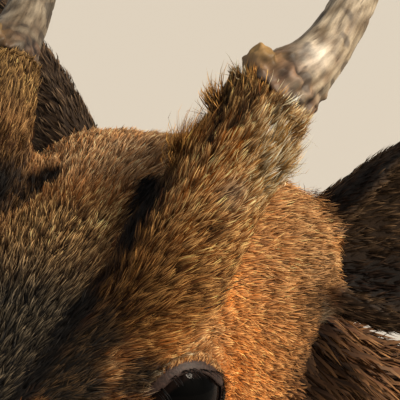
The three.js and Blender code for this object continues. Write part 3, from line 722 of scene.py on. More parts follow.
def hide():
    material = new_material("tanned_hide")
    colour = node(material, "ShaderNodeAttribute", attribute_name="hide_colour")
    place = node(material, "ShaderNodeTexCoord")
    pores = node(material, "ShaderNodeTexNoise", {
        "Vector": place.outputs["Object"], "Scale": 1 / (HIDE_PORE * MM), "Detail": 3,
    })
    streaks = node(material, "ShaderNodeTexNoise", {
        "Vector": place.outputs["Object"], "Scale": 1 / (HIDE_STREAK * MM), "Detail": 5, "Roughness": 0.7,
    })
    tone = node(material, "ShaderNodeMapRange", {
        "Value": streaks.outputs["Fac"], "From Min": 0.3, "From Max": 0.7, "To Min": 0.65, "To Max": 1.2,
    })
    shaded = node(material, "ShaderNodeVectorMath", {
        0: colour.outputs["Color"], "Scale": tone.outputs["Result"],
    }, operation="SCALE")
    bump = node(material, "ShaderNodeBump", {
        "Height": pores.outputs["Fac"], "Strength": 0.35, "Distance": 0.2 * MM,
    })
    surface = node(material, "ShaderNodeBsdfPrincipled", {
        "Base Color": shaded.outputs["Vector"], "Roughness": 0.78, "Specular IOR Level": 0.25,
        "Normal": bump.outputs["Normal"],
    })
    node(material, "ShaderNodeOutputMaterial", {"Surface": surface.outputs["BSDF"]})
    return material


add_colour(skin, "hide_colour", blend(colours[:, 3:6], colours[:, :3], HIDE_ROOT_SHARE))
mounted(skin, hide())
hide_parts(*FLESH)


# Coat
# Guard hairs in small tufts over the whole hide. They lie back from the nose, up the pedicles, out
# along the ears, back and down over the body and down the legs. Each blade is a flat, tapered,
# bent strip, rooted in the skin, and blades of one tuft lean towards its tip.

# Where the rows of points lie along a blade and how wide it is there; its last row is one point
BLADE_ROWS = {"bent": (0, 0.34, 0.7, 1), "short": (0, 0.5, 1)}
BLADE_WIDTHS = {"bent": (0.8, 1, 0.72, 0), "short": (0.9, 1, 0)}
UNWRAP_PATCH = 0.003  # size of a blade on the unwrap of the solid under it
COAT_SEED = 20
rng = np.random.default_rng(COAT_SEED)


def along_surface(vectors, normals):
    """What is left of some vectors once the part that stands off the surface is taken away."""
    return vectors - np.sum(vectors * normals, axis=1)[:, None] * normals


def flow_of_coat():
    """The lie of the coat at each point of the skin, along its surface."""
    cheek = step(-4, 26, face_y) * step(12, -4, face_z)
    upward = 0.32 * step(0.1, 0.8, out_z) - 0.16 - 0.5 * cheek
    on_face = np.stack([0.028 * face_x, np.full_like(face_x, 0.9), upward], 1)
    low = step(0.75, 0.15, up_pedicle)
    lean = 0.05 + 0.5 * low + (0.3 + 0.55 * low) * across_stalk
    up_stalk = STALK_AXIS + lean[:, None] * STALK_OUTER
    in_head = on["head"][:, None] * on_face + on["pedicle"][:, None] * up_stalk
    in_head = in_head + on["ear"][:, None] * ear_axis
    away_from_eye = unit(head_points - EYE_AT)
    in_head = in_head + (1.1 * on["head"] * step(6, 0, lid_away))[:, None] * away_from_eye
    in_head[:, :1] *= skin_side
    in_body = by_region(
        head=(0, 0, 0), ear=(0, 0, 0), pedicle=(0, 0, 0), neck=(0, 0.7, -0.72), torso=(0, 0.9, -0.45),
        tail=(0, 0.1, -1), leg=(0, 0.22, -1),
    )
    x, y, z = body_points.T
    haunch = step(120, 230, y) * step(430, 330, z) * on["torso"]
    chest = step(-120, -190, y) * on["torso"]
    in_body[:, 2] -= 1.1 * haunch + 0.9 * chest
    in_body[:, 0] += 0.35 * np.sign(x) * on["tail"]
    return unit(along_surface(in_head @ head_turn.T + in_body, skin_normals))


lid_away = from_lids(head_points)
skin_flow = flow_of_coat()
in_view = step(-42, -28, face_y) * step(-16, -8, face_z) * on["head"]  # brow, forehead and temple
lid_bare = step(0.1, -0.5, lid_away)

# Tufts that stand out from the left pedicle and before the root of the ear, and the like on the
# right: place, reach, and what they add to the length and lift of the hair
TUFTS = (
    ((21.6, 22, 40.2), (3.6, 4.2, 4.2), 0.6, 0.4),
    ((31, 60, 20), (7, 9, 6), 1.0, 0.7),
    ((38, 28, 37), (3, 5, 5), 0.7, 0.35),
    ((39, 35, 45), (3, 3.5, 3.5), 0.45, 0.4),
)
tuft_length = np.zeros(len(skin_points))
tuft_lift = np.zeros(len(skin_points))
for place, reach, longer, higher in TUFTS:
    in_tuft = ball(head_points, place, reach) * (on["pedicle"] + on["head"])
    tuft_length += longer * in_tuft
    tuft_lift += higher * in_tuft

GAP_WIDTH = 0.9  # of the parting over a furrow of the skin
gap_away = np.min([distance_to_line(head_points, line)[0] for line in FURROWS_IN_SKIN], axis=0)
in_gap = on["pedicle"] * near(gap_away, GAP_WIDTH)

# Hairs on a square millimetre, their length, width and lift off the skin, how far a tuft draws its
# hairs together, and the share of them that are dark to the tip. The brow in view has more and finer
# hairs, the bare top of the pedicle has fewer and shorter ones, and the lids have hardly any.
blade_density = by_region(head=3.0, ear=1.6, pedicle=22, neck=0.6, torso=0.36, tail=0.9, leg=0.5)
blade_density = blade_density * (1 + 1.85 * in_view) * (1 - 0.5 * bare_top * on["pedicle"])
blade_density = blade_density * (1 - 0.998 * lid_bare) * (1 - 0.75 * in_gap)
blade_length = by_region(head=4.2, ear=3.6, pedicle=5.0, neck=16, torso=17, tail=26, leg=7.5)
blade_length = blade_length * (1 - 0.5 * muzzle) * (1 - 0.4 * bare_top * on["pedicle"])
blade_length = blade_length * (1 - 0.45 * at_lids) + on["pedicle"] * step(0.55, 0.2, up_pedicle)
blade_length = blade_length * (1 + tuft_length)
blade_width = by_region(head=0.25, ear=0.34, pedicle=0.17, neck=0.85, torso=1.0, tail=0.8, leg=0.7)
blade_width = blade_width * (1 - 0.3 * in_view)
blade_lift = by_region(head=0.36, ear=0.3, pedicle=0.46, neck=0.34, torso=0.28, tail=0.26, leg=0.2)
blade_lift = blade_lift * (1 - 0.35 * muzzle) + tuft_lift
soft_cheek = on["head"] * step(16, 26, face_y) * step(24, 30, face_x)
tuft_pull = by_region(head=0.5, ear=0.4, pedicle=0.55, neck=0.5, torso=0.45, tail=0.5, leg=0.4)
tuft_pull = tuft_pull * (1 - 0.55 * soft_cheek)
dark_share = by_region(head=0.4, ear=0.2, pedicle=0.42, neck=0.2, torso=0.2, tail=0.1, leg=0.2)
dark_share = dark_share * (1 - 0.85 * soft_cheek)
TUFT_SIZE = {"head": 1.5, "ear": 2.2, "pedicle": 1.5, "neck": 7, "torso": 8, "tail": 7, "leg": 4}  # mm
TIP_REACH = 0.6  # of a hair's length, from its root to the marking that it shows


def colours_under_tips():
    """The marking under the tip of each hair, so that the coat shows it where the skin has it."""
    tree = KDTree(len(skin_points))
    for index, point in enumerate(skin_points.tolist()):
        tree.insert(point, index)
    tree.balance()
    tips = skin_points + skin_flow * (TIP_REACH * blade_length * np.cos(blade_lift))[:, None] * MM
    return colours[[tree.find(tip)[1] for tip in tips.tolist()]]


# The coat's values at each point of the skin, and their columns; column 18 is the density
ROOT, NORMAL, FLOW, HAIRS = slice(0, 3), slice(3, 6), slice(6, 9), slice(9, 18)
LENGTH, WIDTH, LIFT, PULL, DARK = range(19, 24)
fields = np.concatenate([
    skin_points, skin_normals, skin_flow, colours_under_tips(),
    np.stack([blade_density, blade_length, blade_width, blade_lift, tuft_pull, dark_share], 1),
], axis=1)


def unwrap(node):
    """A function that gives the place of a point on an unwrap of one flesh solid."""
    points, triangles = welded(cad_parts[node])
    sheet = mesh_object("unwrap", points, triangles)
    bpy.ops.object.select_all(action="DESELECT")
    bpy.context.view_layer.objects.active = sheet
    sheet.select_set(True)
    bpy.ops.object.mode_set(mode="EDIT")
    bpy.ops.mesh.select_all(action="SELECT")
    bpy.ops.uv.smart_project(angle_limit=math.radians(66), island_margin=0.01)
    bpy.ops.object.mode_set(mode="OBJECT")
    places = read(sheet.data.uv_layers.active.data, "uv", 2, np.float32).reshape(-1, 3, 2)
    corners = points[triangles]
    tree = BVHTree.FromPolygons(points.tolist(), triangles.tolist())
    remove(sheet)

    def place_of(roots):
        face = np.array([tree.find_nearest(root)[2] for root in roots.tolist()])
        a, b, c = corners[face].transpose(1, 0, 2)
        ab, ac, ap = b - a, c - a, roots - a
        aa, bb, cc = (np.sum(p * q, 1) for p, q in ((ab, ab), (ab, ac), (ac, ac)))
        pa, pc = np.sum(ap * ab, 1), np.sum(ap * ac, 1)
        area = np.maximum(aa * cc - bb * bb, 1e-18)
        s = np.clip((cc * pa - bb * pc) / area, 0, 1)[:, None]
        t = np.clip((aa * pc - bb * pa) / area, 0, 1)[:, None]
        first, second, third = places[face].transpose(1, 0, 2)
        return np.clip(first + s * (second - first) + t * (third - first), 0.004, 0.996)

    return place_of


place_on_unwrap = {name: unwrap(name) for name in FLESH}


def rooted(chosen):
    """Random places on the chosen triangles of the skin, with all the coat's values there."""
    corners = skin_triangles[chosen]
    a, b, c = (skin_points[corners[:, k]] / MM for k in range(3))
    area = np.linalg.norm(np.cross(b - a, c - a), axis=1) / 2
    expected = area * blade_density[corners].mean(axis=1)
    count = rng.poisson(expected)
    face = np.repeat(np.arange(len(corners)), count)
    s, t = np.sqrt(rng.random(len(face))), rng.random(len(face))
    share = np.stack([1 - s, s * (1 - t), s * t], 1)
    return sum(share[:, k : k + 1] * fields[corners[face, k]] for k in range(3))


CELL_PRIMES = np.array([73856093, 19349663, 83492791])  # they mix a cell's numbers into one


def tuft_of(roots, size):
    """The number of the tuft that each root belongs to: the cell it lies in of a warped grid."""
    place = roots / (size * MM)
    warp = 0.4 * np.sin(place[:, (1, 2, 0)] * 2.3 + np.array([0, 1.3, 2.6]))
    cell = np.floor(place + warp).astype(np.int64)
    _, tuft = np.unique(np.bitwise_xor.reduce(cell * CELL_PRIMES, axis=1), return_inverse=True)
    return tuft.reshape(-1)


def mean_of_tuft(tuft, values):
    """The mean over each tuft, at each of its members."""
    count = np.bincount(tuft)[:, None]
    return (summed(tuft, values, len(count)) / count)[tuft]


ROOT_DEPTH = 0.15  # mm that a blade starts under the skin
DROOP = 0.55  # of its rise that a blade loses again towards its tip
JITTER = 0.15  # of a tuft's size, by which roots stray over to the next tuft
SWAY = (0.16, 0.13)  # radians to the side, of whole tufts and of single hairs
ROLL = 0.55  # radians that blades turn about their length
BREADTH_SPREAD = 0.2  # of single hairs
# Spread of whole tufts, spread of single hairs, and the least and greatest factor
LENGTH_SPREAD = (0.1, 0.2, 0.35, 1.7)
LIFT_SPREAD = (0.3, 0.35, 0.15, 2.6)
TONE_SPREAD = (0.22, 0.25, 0.25, 2)
TIP_SPREAD = (0.25, 0.25, 0.2, 1.5)
MIDDLE_AT = (0.2, 0.9)  # along a hair, where its root's colour gives way to its middle's
TIP_AT = (0.3, 1)  # and where that gives way to its tip's


def varied(tuft, of_tufts, of_hairs, least, greatest):
    """A random factor about 1 for each hair, partly shared by the hairs of its tuft."""
    factor = rng.normal(1, of_tufts, tuft.max() + 1)[tuft] * rng.normal(1, of_hairs, len(tuft))
    return np.clip(factor, least, greatest)


def blades_of(values, tuft_size, rows):
    """The points and colours of all the blades, one row after another from root to tip."""
    root, normal, flow = values[:, ROOT], unit(values[:, NORMAL]), values[:, FLOW]
    low, middle, high = values[:, HAIRS].reshape(-1, 3, 3).transpose(1, 0, 2)
    size = len(root)
    flow = unit(along_surface(flow, normal))
    across = np.cross(normal, flow)
    tuft = tuft_of(root + rng.normal(0, JITTER, (size, 3)) * tuft_size * MM, tuft_size)
    sway = rng.normal(0, SWAY[0], tuft.max() + 1)[tuft] + rng.normal(0, SWAY[1], size)
    long = (values[:, LENGTH] * varied(tuft, *LENGTH_SPREAD))[:, None] * MM
    rise = (values[:, LIFT] * varied(tuft, *LIFT_SPREAD))[:, None]
    ahead = flow * np.cos(sway)[:, None] + across * np.sin(sway)[:, None]
    roll = rng.normal(0, ROLL, size)[:, None]
    flat = np.cross(normal, ahead) * np.cos(roll) + normal * np.sin(roll)
    spread = np.clip(rng.normal(1, BREADTH_SPREAD, size), 0.5, 1.6)[:, None]
    wide = values[:, WIDTH, None] * MM * spread

    def spine(t):
        reach = long * t * np.cos(rise)
        height = long * (t - DROOP * t * t) * np.sin(rise)
        return root - normal * ROOT_DEPTH * MM + ahead * reach + normal * height

    tip = spine(1.0)
    lean = along_surface((mean_of_tuft(tuft, tip) - tip) * values[:, PULL, None], normal)
    tone = varied(tuft, *TONE_SPREAD)[:, None]
    pale = varied(tuft, *TIP_SPREAD)
    pale = (pale * (rng.random(size) > values[:, DARK]))[:, None]
    points, shades = [], []
    for t, breadth in zip(BLADE_ROWS[rows], BLADE_WIDTHS[rows]):
        centre = spine(t) + lean * t * t
        half = flat * wide * breadth / 2
        shade = low + (middle - low) * step(*MIDDLE_AT, t) + (high - middle) * step(*TIP_AT, t) * pale
        across_row = [centre - half, centre + half] if breadth else [centre]
        points += across_row
        shades += [shade * tone] * len(across_row)
    return np.stack(points, 1), np.stack(shades, 1)


def coat_piece(name, solid, values, rows="short"):
    """One piece of the coat, from the values at the roots of its hairs."""
    points, shades = blades_of(values, TUFT_SIZE[region_of(solid)], rows)
    row_places = BLADE_ROWS[rows]
    tip = 2 * (len(row_places) - 1)
    strips = [(k, k + 1, k + 3, k + 2) for k in range(0, tip - 2, 2)]
    pattern = [face for a, b, c, d in strips for face in ((a, b, c), (a, c, d))]
    pattern.append((tip - 2, tip - 1, tip))
    starts = np.arange(len(points))[:, None, None] * (tip + 1)
    faces = (np.array(pattern)[None] + starts).reshape(-1, 3)
    blades = mesh_object(name, points.reshape(-1, 3), faces)
    add_colour(blades, "fur_colour", np.clip(shades.reshape(-1, 3), 0, 1))
    patch = np.array([(k % 2, row_places[k // 2]) for k in range(tip)] + [(0.5, 1)]) - 0.5
    corners = place_on_unwrap[solid](values[:, ROOT])[:, None] + patch * UNWRAP_PATCH
    layer = blades.data.uv_layers.new(name="OFBake")
    layer.data.foreach_set("uv", corners.reshape(-1, 2)[faces.ravel()].astype(np.float32).ravel())
    return mounted(blades, fur)


# Keratin guard hair: satin, with a faint sheen, each hair dark at its root and pale at its tip.
def guard_hair():
    material = new_material("keratin_guard_hair")
    colour = node(material, "ShaderNodeAttribute", attribute_name="fur_colour")
    surface = node(material, "ShaderNodeBsdfPrincipled", {
        "Base Color": colour.outputs["Color"], "Roughness": 0.6, "IOR": 1.55, "Specular IOR Level": 0.1,
    })
    node(material, "ShaderNodeOutputMaterial", {"Surface": surface.outputs["BSDF"]})
    return material


BROW_FRONT = -34  # of the head, y where the dense coat of the brow starts
BROW_LOW = -12  # of the head, z above which it grows
WAIST = 0.06  # metres, y where the coat of the trunk is parted into two pieces

fur = guard_hair()
triangle_node = skin_node[skin_triangles[:, 0]]
triangle_middle = skin_points[skin_triangles].mean(axis=1)
middle_in_head = to_head(triangle_middle)
is_left = middle_in_head[:, 0] > 0
is_brow = (middle_in_head[:, 1] > BROW_FRONT) & (middle_in_head[:, 2] > BROW_LOW)
is_front = triangle_middle[:, 1] < WAIST


def on_node(name):
    return triangle_node == FLESH.index(name)


def over_ball(flat, height):
    """Points seen along the gaze at `flat`, at a height off the eyeball."""
    radius = EYE_RADIUS + height
    depth = np.sqrt(np.maximum(radius**2 - np.sum(flat**2, -1), (0.32 * EYE_RADIUS) ** 2))
    across, up = flat[..., :1], flat[..., 1:]
    return EYE_AT + depth[..., None] * EYE_GAZE + across * EYE_BACK + up * EYE_UP


LID_HAIRS = 2600
LID_HAIR_VALUES = (1, 1.9, 0.12, 0.3, 0.4, 0.3)  # density, length, width, lift, pull, dark share
LID_HAIR_AT = (-1.7, 0.3)  # mm inwards and outwards from the edge of the opening
LID_HAIR_HEIGHT = 1.1  # mm off the eyeball


def lid_hairs(side):
    """The short hairs that creep from the brow over the outer edge of the lids."""
    outline = lid_outline()
    at = rng.random(LID_HAIRS) * len(outline)
    low = at.astype(int) % len(outline)
    high = (low + 1) % len(outline)
    flat = outline[low] + (outline[high] - outline[low]) * (at % 1)[:, None]
    ahead = unit(outline[high] - outline[low])
    out = np.stack([-ahead[:, 1], ahead[:, 0]], 1)
    distance = rng.uniform(*LID_HAIR_AT, LID_HAIRS)[:, None]
    distance = distance * (0.5 + 0.5 * step(-2, 3, flat[:, 1:]))
    points = over_ball(flat + out * distance, np.full(LID_HAIRS, LID_HAIR_HEIGHT))
    normals = unit(points - EYE_AT)
    flow = out[:, :1] * EYE_BACK + out[:, 1:] * EYE_UP + 0.8 * EYE_BACK
    mirror = np.array([side, 1, 1])
    upper = step(-3, 3, flat[:, 1:]) * step(-8, -3, flat[:, :1])
    return np.concatenate([
        from_head(points * mirror), (normals * mirror) @ head_turn.T, (flow * mirror) @ head_turn.T,
        blend(DARK_BROW, TAN_BROW, upper), np.tile(LID_HAIR_VALUES, (LID_HAIRS, 1)),
    ], axis=1)


# Tufts that stand clear of the left pedicle's outline: place, reach, way of the hairs, their number
# and length, and their colours
STRAY_TUFTS = (
    ((21.3, 22.5, 39.6), 2.6, (-0.31, 0.16, 0.92), 420, 11, GOLD_TUFT),
    ((26.6, 29.6, 48.8), 1.5, (-0.56, 0.02, 0.8), 170, 9, GOLD_TUFT),
    ((29.8, 34.5, 53.6), 1.5, (-0.5, 0.1, 0.85), 50, 5, STRAW_TUFT),
    ((37.4, 31.8, 35.4), 2.6, (0.82, 0.52, 0.16), 260, 8.5, STRAW_TUFT),
    ((39, 36, 44.5), 3.5, (0.7, 0.5, 0.5), 160, 6, STRAW_TUFT),
    ((38, 36, 49.5), 2.8, (0.4, 0.8, 0.45), 260, 6.5, STRAW_TUFT),
    ((33, 31.5, 52.5), 2.4, (-0.1, 0.7, 0.7), 200, 6, GOLD_TUFT),
)
STRAY_WIDTH = 0.17
STRAY_PULL = 0.35
STRAY_DARK = 0.15  # share of the hairs that are dark to the tip


def stray_hairs():
    """The hairs of the tufts that stand out from the left pedicle."""
    found = []
    for place, reach, way, count, length, hairs in STRAY_TUFTS:
        share = ball(head_points, place, (reach, reach, reach)) * (on["pedicle"] * is_left_skin)
        values = fields[rng.choice(len(share), count, p=share / share.sum())].copy()
        values[:, ROOT] += rng.normal(0, 0.3, (count, 3)) * MM
        ahead = unit(unit(np.array(way)) @ head_turn.T + rng.normal(0, 0.16, (count, 3)))
        values[:, FLOW] = ahead
        values[:, HAIRS] = hairs
        values[:, LENGTH] = length
        values[:, WIDTH] = STRAY_WIDTH
        values[:, LIFT] = np.arcsin(np.clip(np.sum(ahead * values[:, NORMAL], 1), 0.1, 0.95))
        values[:, PULL] = STRAY_PULL
        values[:, DARK] = STRAY_DARK
        found.append(values)
    return np.concatenate(found)


def grow_coat():
    for side_name, side in SIDES.items():
        this_side = is_left if side == LEFT else ~is_left
        for part, area in (("brow", is_brow), ("face", ~is_brow)):
            roots = rooted(on_node("head") & this_side & area)
            coat_piece(f"coat_{part}_{side_name}", "head", roots)
        coat_piece(f"coat_lids_{side_name}", "head", lid_hairs(side))
        for part in ("pedicle", "ear"):
            solid = f"{part}_{side_name}"
            coat_piece(f"coat_{solid}", solid, rooted(on_node(solid)))
        for part, area in (("shoulder", is_front), ("haunch", ~is_front)):
            roots = rooted(on_node("torso") & this_side & area)
            coat_piece(f"coat_{part}_{side_name}", "torso", roots)
        for part in ("foreleg", "hindleg"):
            solid = f"{part}_{side_name}"
            coat_piece(f"coat_{solid}", solid, rooted(on_node(solid)))
    coat_piece("coat_tufts", "pedicle_left", stray_hairs(), rows="bent")
    coat_piece("coat_neck", "neck", rooted(on_node("neck")))
    coat_piece("coat_tail", "tail", rooted(on_node("tail")), rows="bent")


grow_coat()


# Eyes
# Large, dark and wet, with a wide pupil that lies level. The taxidermist's eye is blown glass with
# the iris painted on its back, and it bulges a little in front as the cornea does.
CORNEA_BULGE = 0.7
CORNEA_REACH = 40  # degrees from the gaze
IRIS_REACH = 50  # degrees from the gaze
PUPIL = (30, 15)  # half length and half height in degrees
EYE_ROUND = 96
EYE_RINGS = 64
EYE_POLE = 0.002  # radians from the poles to the first and last ring
IRIS_BROWN = linear("#0e0705")
IRIS_GROUND = linear("#0a0605")
PUPIL_BLACK = linear("#010101")
EYE_WHITE = linear("#0c0706")  # round the iris, nearly as dark as the iris in this animal


def place_on_head(name, points, faces, side):
    """A piece given for the left of the head, or its mirror image on the right."""
    points = np.array(points, float)
    if side == RIGHT:
        points[:, 0] *= -1
        faces = faces[:, ::-1]
    return mesh_object(name, from_head(points), faces)


def ring_faces(rings, around):
    """Quads over rings of points, each ring closed on itself."""
    ring, place = np.meshgrid(np.arange(rings - 1) * around, np.arange(around), indexing="ij")
    after = (place + 1) % around
    corners = (ring + place, ring + after, ring + around + after, ring + around + place)
    return np.stack(corners, -1).reshape(-1, 4)


# Blown glass: the painted back shows soft and dark, under a clear, sharp, wet glint.
def glass_eye():
    material = new_material("blown_glass_eye")
    colour = node(material, "ShaderNodeAttribute", attribute_name="iris_colour")
    surface = node(material, "ShaderNodeBsdfPrincipled", {
        "Base Color": colour.outputs["Color"], "Roughness": 0.6, "IOR": 1.34,
        "Specular IOR Level": 0.03, "Coat Weight": 0.35, "Coat Roughness": 0.02, "Coat IOR": 1.15,
    })
    node(material, "ShaderNodeOutputMaterial", {"Surface": surface.outputs["BSDF"]})
    return material


def make_eye(side_name, side, material):
    theta = np.linspace(EYE_POLE, math.pi - EYE_POLE, EYE_RINGS)[:, None]
    phi = np.linspace(0, 2 * math.pi, EYE_ROUND, endpoint=False)[None]
    angle = np.degrees(theta)
    radius = EYE_RADIUS - 0.05 + CORNEA_BULGE * near(angle, CORNEA_REACH)
    along = [np.cos(theta), np.sin(theta) * np.cos(phi), np.sin(theta) * np.sin(phi)]
    points = sum(part[..., None] * axis for part, axis in zip(along, (EYE_GAZE, EYE_BACK, EYE_UP)))
    points = EYE_AT + points * radius[..., None]
    pupil = np.hypot(angle * np.cos(phi) / PUPIL[0], angle * np.sin(phi) / PUPIL[1])
    streak = 0.5 + 0.5 * np.sin(phi * 37 + 2 * np.sin(phi * 11)) * np.sin(phi * 23)
    iris = IRIS_BROWN * (0.55 + 0.6 * streak[..., None])
    iris = iris * step(IRIS_REACH + 3, IRIS_REACH - 8, angle)[..., None] + IRIS_GROUND * 0.5
    colour = PUPIL_BLACK + step(0.92, 1.08, pupil)[..., None] * iris
    colour = blend(colour, EYE_WHITE, step(IRIS_REACH + 4, IRIS_REACH + 16, angle)[..., None])
    faces = ring_faces(EYE_RINGS, EYE_ROUND)
    eye = place_on_head(f"eye_{side_name}_glass", points.reshape(-1, 3), faces, side)
    add_colour(eye, "iris_colour", colour.reshape(-1, 3))
    mounted(eye, material)
    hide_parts(f"eye_{side_name}")


glass = glass_eye()
for side_name, side in SIDES.items():
    make_eye(side_name, side, glass)


# Eyelids and lashes
# A rim of bare, dark, folded skin round each eye, thickest above. Stiff black lashes are set in the
# upper lid, and a few longer feelers stand over the brow.

# The rim's section, as its distance out from the edge of the opening and its height off the ball
LID_SECTION = (
    (-0.75, 0.1), (-0.85, 0.45), (-0.7, 0.8), (-0.4, 1.0), (0, 1.1), (0.35, 0.95), (0.7, 0.55),
    (1.0, -0.3), (0.4, -0.9),
)
LID_DROOP = 2.6  # mm that the upper lid reaches over the ball past the edge of its opening
LID_TONES = ((0.3, "#160d0a"), (0.75, "#43302a"))  # place on the grain's range, colour
LASHES = 34
LASH_LENGTH = (2.2, 3.8)
LASH_RADIUS = 0.13
FEELERS = 5
FEELER_LENGTH = (11, 17)
FEELER_WAY = (0.75, 0.2, 0.62)
FEELER_BEND = (0.1, 0.3, -0.2)
STRAND_ROWS = 6  # of points along a lash
LASH_SEED = 5
LID_GRAIN = 0.5  # mm


# Bare lid skin: dark, slightly greasy and finely grained, so it shows a broad, weak sheen.
def bare_lid():
    material = new_material("bare_lid_skin")
    place = node(material, "ShaderNodeTexCoord")
    grain = node(material, "ShaderNodeTexNoise", {
        "Vector": place.outputs["Object"], "Scale": 1 / (LID_GRAIN * MM), "Detail": 4, "Roughness": 0.6,
    })
    tone = node(material, "ShaderNodeValToRGB", {"Fac": grain.outputs["Fac"]})
    for stop, (at, colour) in zip(tone.color_ramp.elements, LID_TONES):
        stop.position = at
        stop.color = rgba(colour)
    bump = node(material, "ShaderNodeBump", {
        "Height": grain.outputs["Fac"], "Strength": 0.5, "Distance": 0.15 * MM,
    })
    surface = node(material, "ShaderNodeBsdfPrincipled", {
        "Base Color": tone.outputs["Color"], "Roughness": 0.55, "Specular IOR Level": 0.25,
        "Normal": bump.outputs["Normal"],
    })
    node(material, "ShaderNodeOutputMaterial", {"Surface": surface.outputs["BSDF"]})
    return material


def make_lids(side_name, side, material):
    outline = lid_outline()
    ahead = unit(np.roll(outline, -1, 0) - np.roll(outline, 1, 0))
    out = np.stack([-ahead[:, 1], ahead[:, 0]], 1)
    is_upper = step(-2.5, 5, outline[:, 1:] + 0.25 * outline[:, :1])
    fuller = 0.75 + 0.35 * is_upper
    rings = []
    for distance, height in LID_SECTION:
        drawn_down = LID_DROOP * is_upper * step(1.2, -0.8, distance)
        rings.append(over_ball(outline + out * (distance * fuller - drawn_down), height * fuller[:, 0]))
    points = np.stack(rings, 1).reshape(-1, 3)
    faces = ring_faces(len(outline) + 1, len(LID_SECTION)) % len(points)
    lids = place_on_head(f"eyelids_{side_name}", points, faces, side)
    mounted(modified(lids, "SUBSURF", levels=1), material)


def strands(name, roots, directions, bends, lengths, material):
    """Stiff single hairs as three-sided, tapering threads, given in head coordinates."""
    t = np.linspace(0, 1, STRAND_ROWS)[None, :, None]
    path = roots[:, None] + lengths[:, None, None] * (directions[:, None] * t + bends[:, None] * t * t)
    aside = unit(np.cross(directions, bends + np.array([0.01, 0.02, 0.03])))
    other = np.cross(directions, aside)
    turn = np.radians([0, 120, 240])[None, :, None]
    section = aside[:, None] * np.cos(turn) + other[:, None] * np.sin(turn)
    thick = LASH_RADIUS * (1 - 0.94 * t**1.5)
    points = path[:, :, None] + thick[..., None] * section[:, None]
    starts = np.arange(len(roots))[:, None, None] * STRAND_ROWS * len(section[0])
    faces = (ring_faces(STRAND_ROWS, len(section[0]))[None] + starts).reshape(-1, 4)
    if np.sum(np.cross(aside, other) * directions) < 0:
        faces = faces[:, ::-1]
    return mounted(mesh_object(name, from_head(points.reshape(-1, 3)), faces), material)


# Stiff black hair: glossier and thicker than the coat's guard hairs.
def lash_hair():
    material = new_material("black_lash_hair")
    surface = node(material, "ShaderNodeBsdfPrincipled", {"Base Color": rgba("#0b0806"), "Roughness": 0.38})
    node(material, "ShaderNodeOutputMaterial", {"Surface": surface.outputs["BSDF"]})
    return material


def make_lashes(side_name, side, material):
    draw = np.random.default_rng(LASH_SEED)
    flat = lid_outline()[4:LID_STEPS]
    pick = np.sort(draw.random(LASHES)) * (len(flat) - 1)
    low = pick.astype(int)
    edge = flat[low] + (flat[np.minimum(low + 1, len(flat) - 1)] - flat[low]) * (pick - low)[:, None]
    drawn_down = 1 - (LID_DROOP / LID_HEIGHT * 2.3) * step(-1, 6, edge[:, 1:])
    roots = over_ball(edge * drawn_down, 0.5 + 0.3 * draw.random(LASHES))
    outward = unit(edge)
    outward = outward[:, :1] * EYE_BACK + outward[:, 1:] * EYE_UP
    directions = unit(EYE_GAZE + 0.15 * outward + draw.normal(0, 0.12, (LASHES, 3)))
    bends = -0.7 * EYE_UP + 0.1 * EYE_BACK + draw.normal(0, 0.06, (LASHES, 3))
    lengths = draw.uniform(*LASH_LENGTH, LASHES)
    feeler_roots = [(28.5, 2.5 + 2.6 * k, 14.5 - 0.5 * abs(k - 2)) for k in range(FEELERS)]
    feeler_ways = unit(np.tile(FEELER_WAY, (FEELERS, 1)) + draw.normal(0, 0.1, (FEELERS, 3)))
    roots = np.concatenate([roots, feeler_roots])
    directions = np.concatenate([directions, feeler_ways])
    bends = np.concatenate([bends, np.tile(FEELER_BEND, (FEELERS, 1))])
    lengths = np.concatenate([lengths, draw.uniform(*FEELER_LENGTH, FEELERS)])
    mirror = np.array([side, 1, 1])
    strands(f"lashes_{side_name}", roots * mirror, directions * mirror, bends * mirror, lengths, material)


lid_skin, lash = bare_lid(), lash_hair()
for side_name, side in SIDES.items():
    make_lids(side_name, side, lid_skin)
    make_lashes(side_name, side, lash)


# Nose pad
# Bare, black, moist skin over the end of the muzzle, pebbled, with a slit nostril on each side.
PEBBLE = 1.1  # mm across
NOSE_VOXEL = 0.45
FINE_SHARE = 0.5  # of the way to its neighbours' mean that a point of a fine piece moves in a round


def refined(name, solid, voxel, rounds):
    """A finer, smoother copy of a solid: its object, points and normals."""
    piece = remeshed(name, [welded(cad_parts[solid])], voxel)
    points = relaxed(points_of(piece), edges_of(piece), FINE_SHARE, rounds)
    return piece, points, normals_of(points, triangles_of(piece))


# Moist nose skin: black and pebbled, so each pebble carries a small wet glint.
def moist_nose():
    material = new_material("moist_nose_skin")
    place = node(material, "ShaderNodeTexCoord")
    pebbles = node(material, "ShaderNodeTexVoronoi", {
        "Vector": place.outputs["Object"], "Scale": 1 / (PEBBLE * MM), "Smoothness": 0.5,
    }, feature="SMOOTH_F1")
    bump = node(material, "ShaderNodeBump", {
        "Height": pebbles.outputs["Distance"], "Strength": 0.8, "Distance": 0.35 * MM,
    }, invert=True)
    surface = node(material, "ShaderNodeBsdfPrincipled", {
        "Base Color": rgba("#15110f"), "Roughness": 0.33, "Coat Weight": 0.35, "Coat Roughness": 0.2,
        "Normal": bump.outputs["Normal"],
    })
    node(material, "ShaderNodeOutputMaterial", {"Surface": surface.outputs["BSDF"]})
    return material


def make_nose():
    nose, points, _ = refined("nose", "nose_pad", NOSE_VOXEL, rounds=6)
    move_points(nose, points)
    mounted(nose, moist_nose())
    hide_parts("nose_pad")


make_nose()


# Tusks
# The male's upper canines: thin, curved, flat-sided teeth of ivory, set in the upper jaw, of which
# the tips show below the lip.
TUSK_VOXEL = 0.3
IVORY_CLOUD = 2.5  # mm across
IVORY_TONES = ((0.3, "#c9b184"), (0.6, "#efe6cd"))  # place on the grain's range, colour


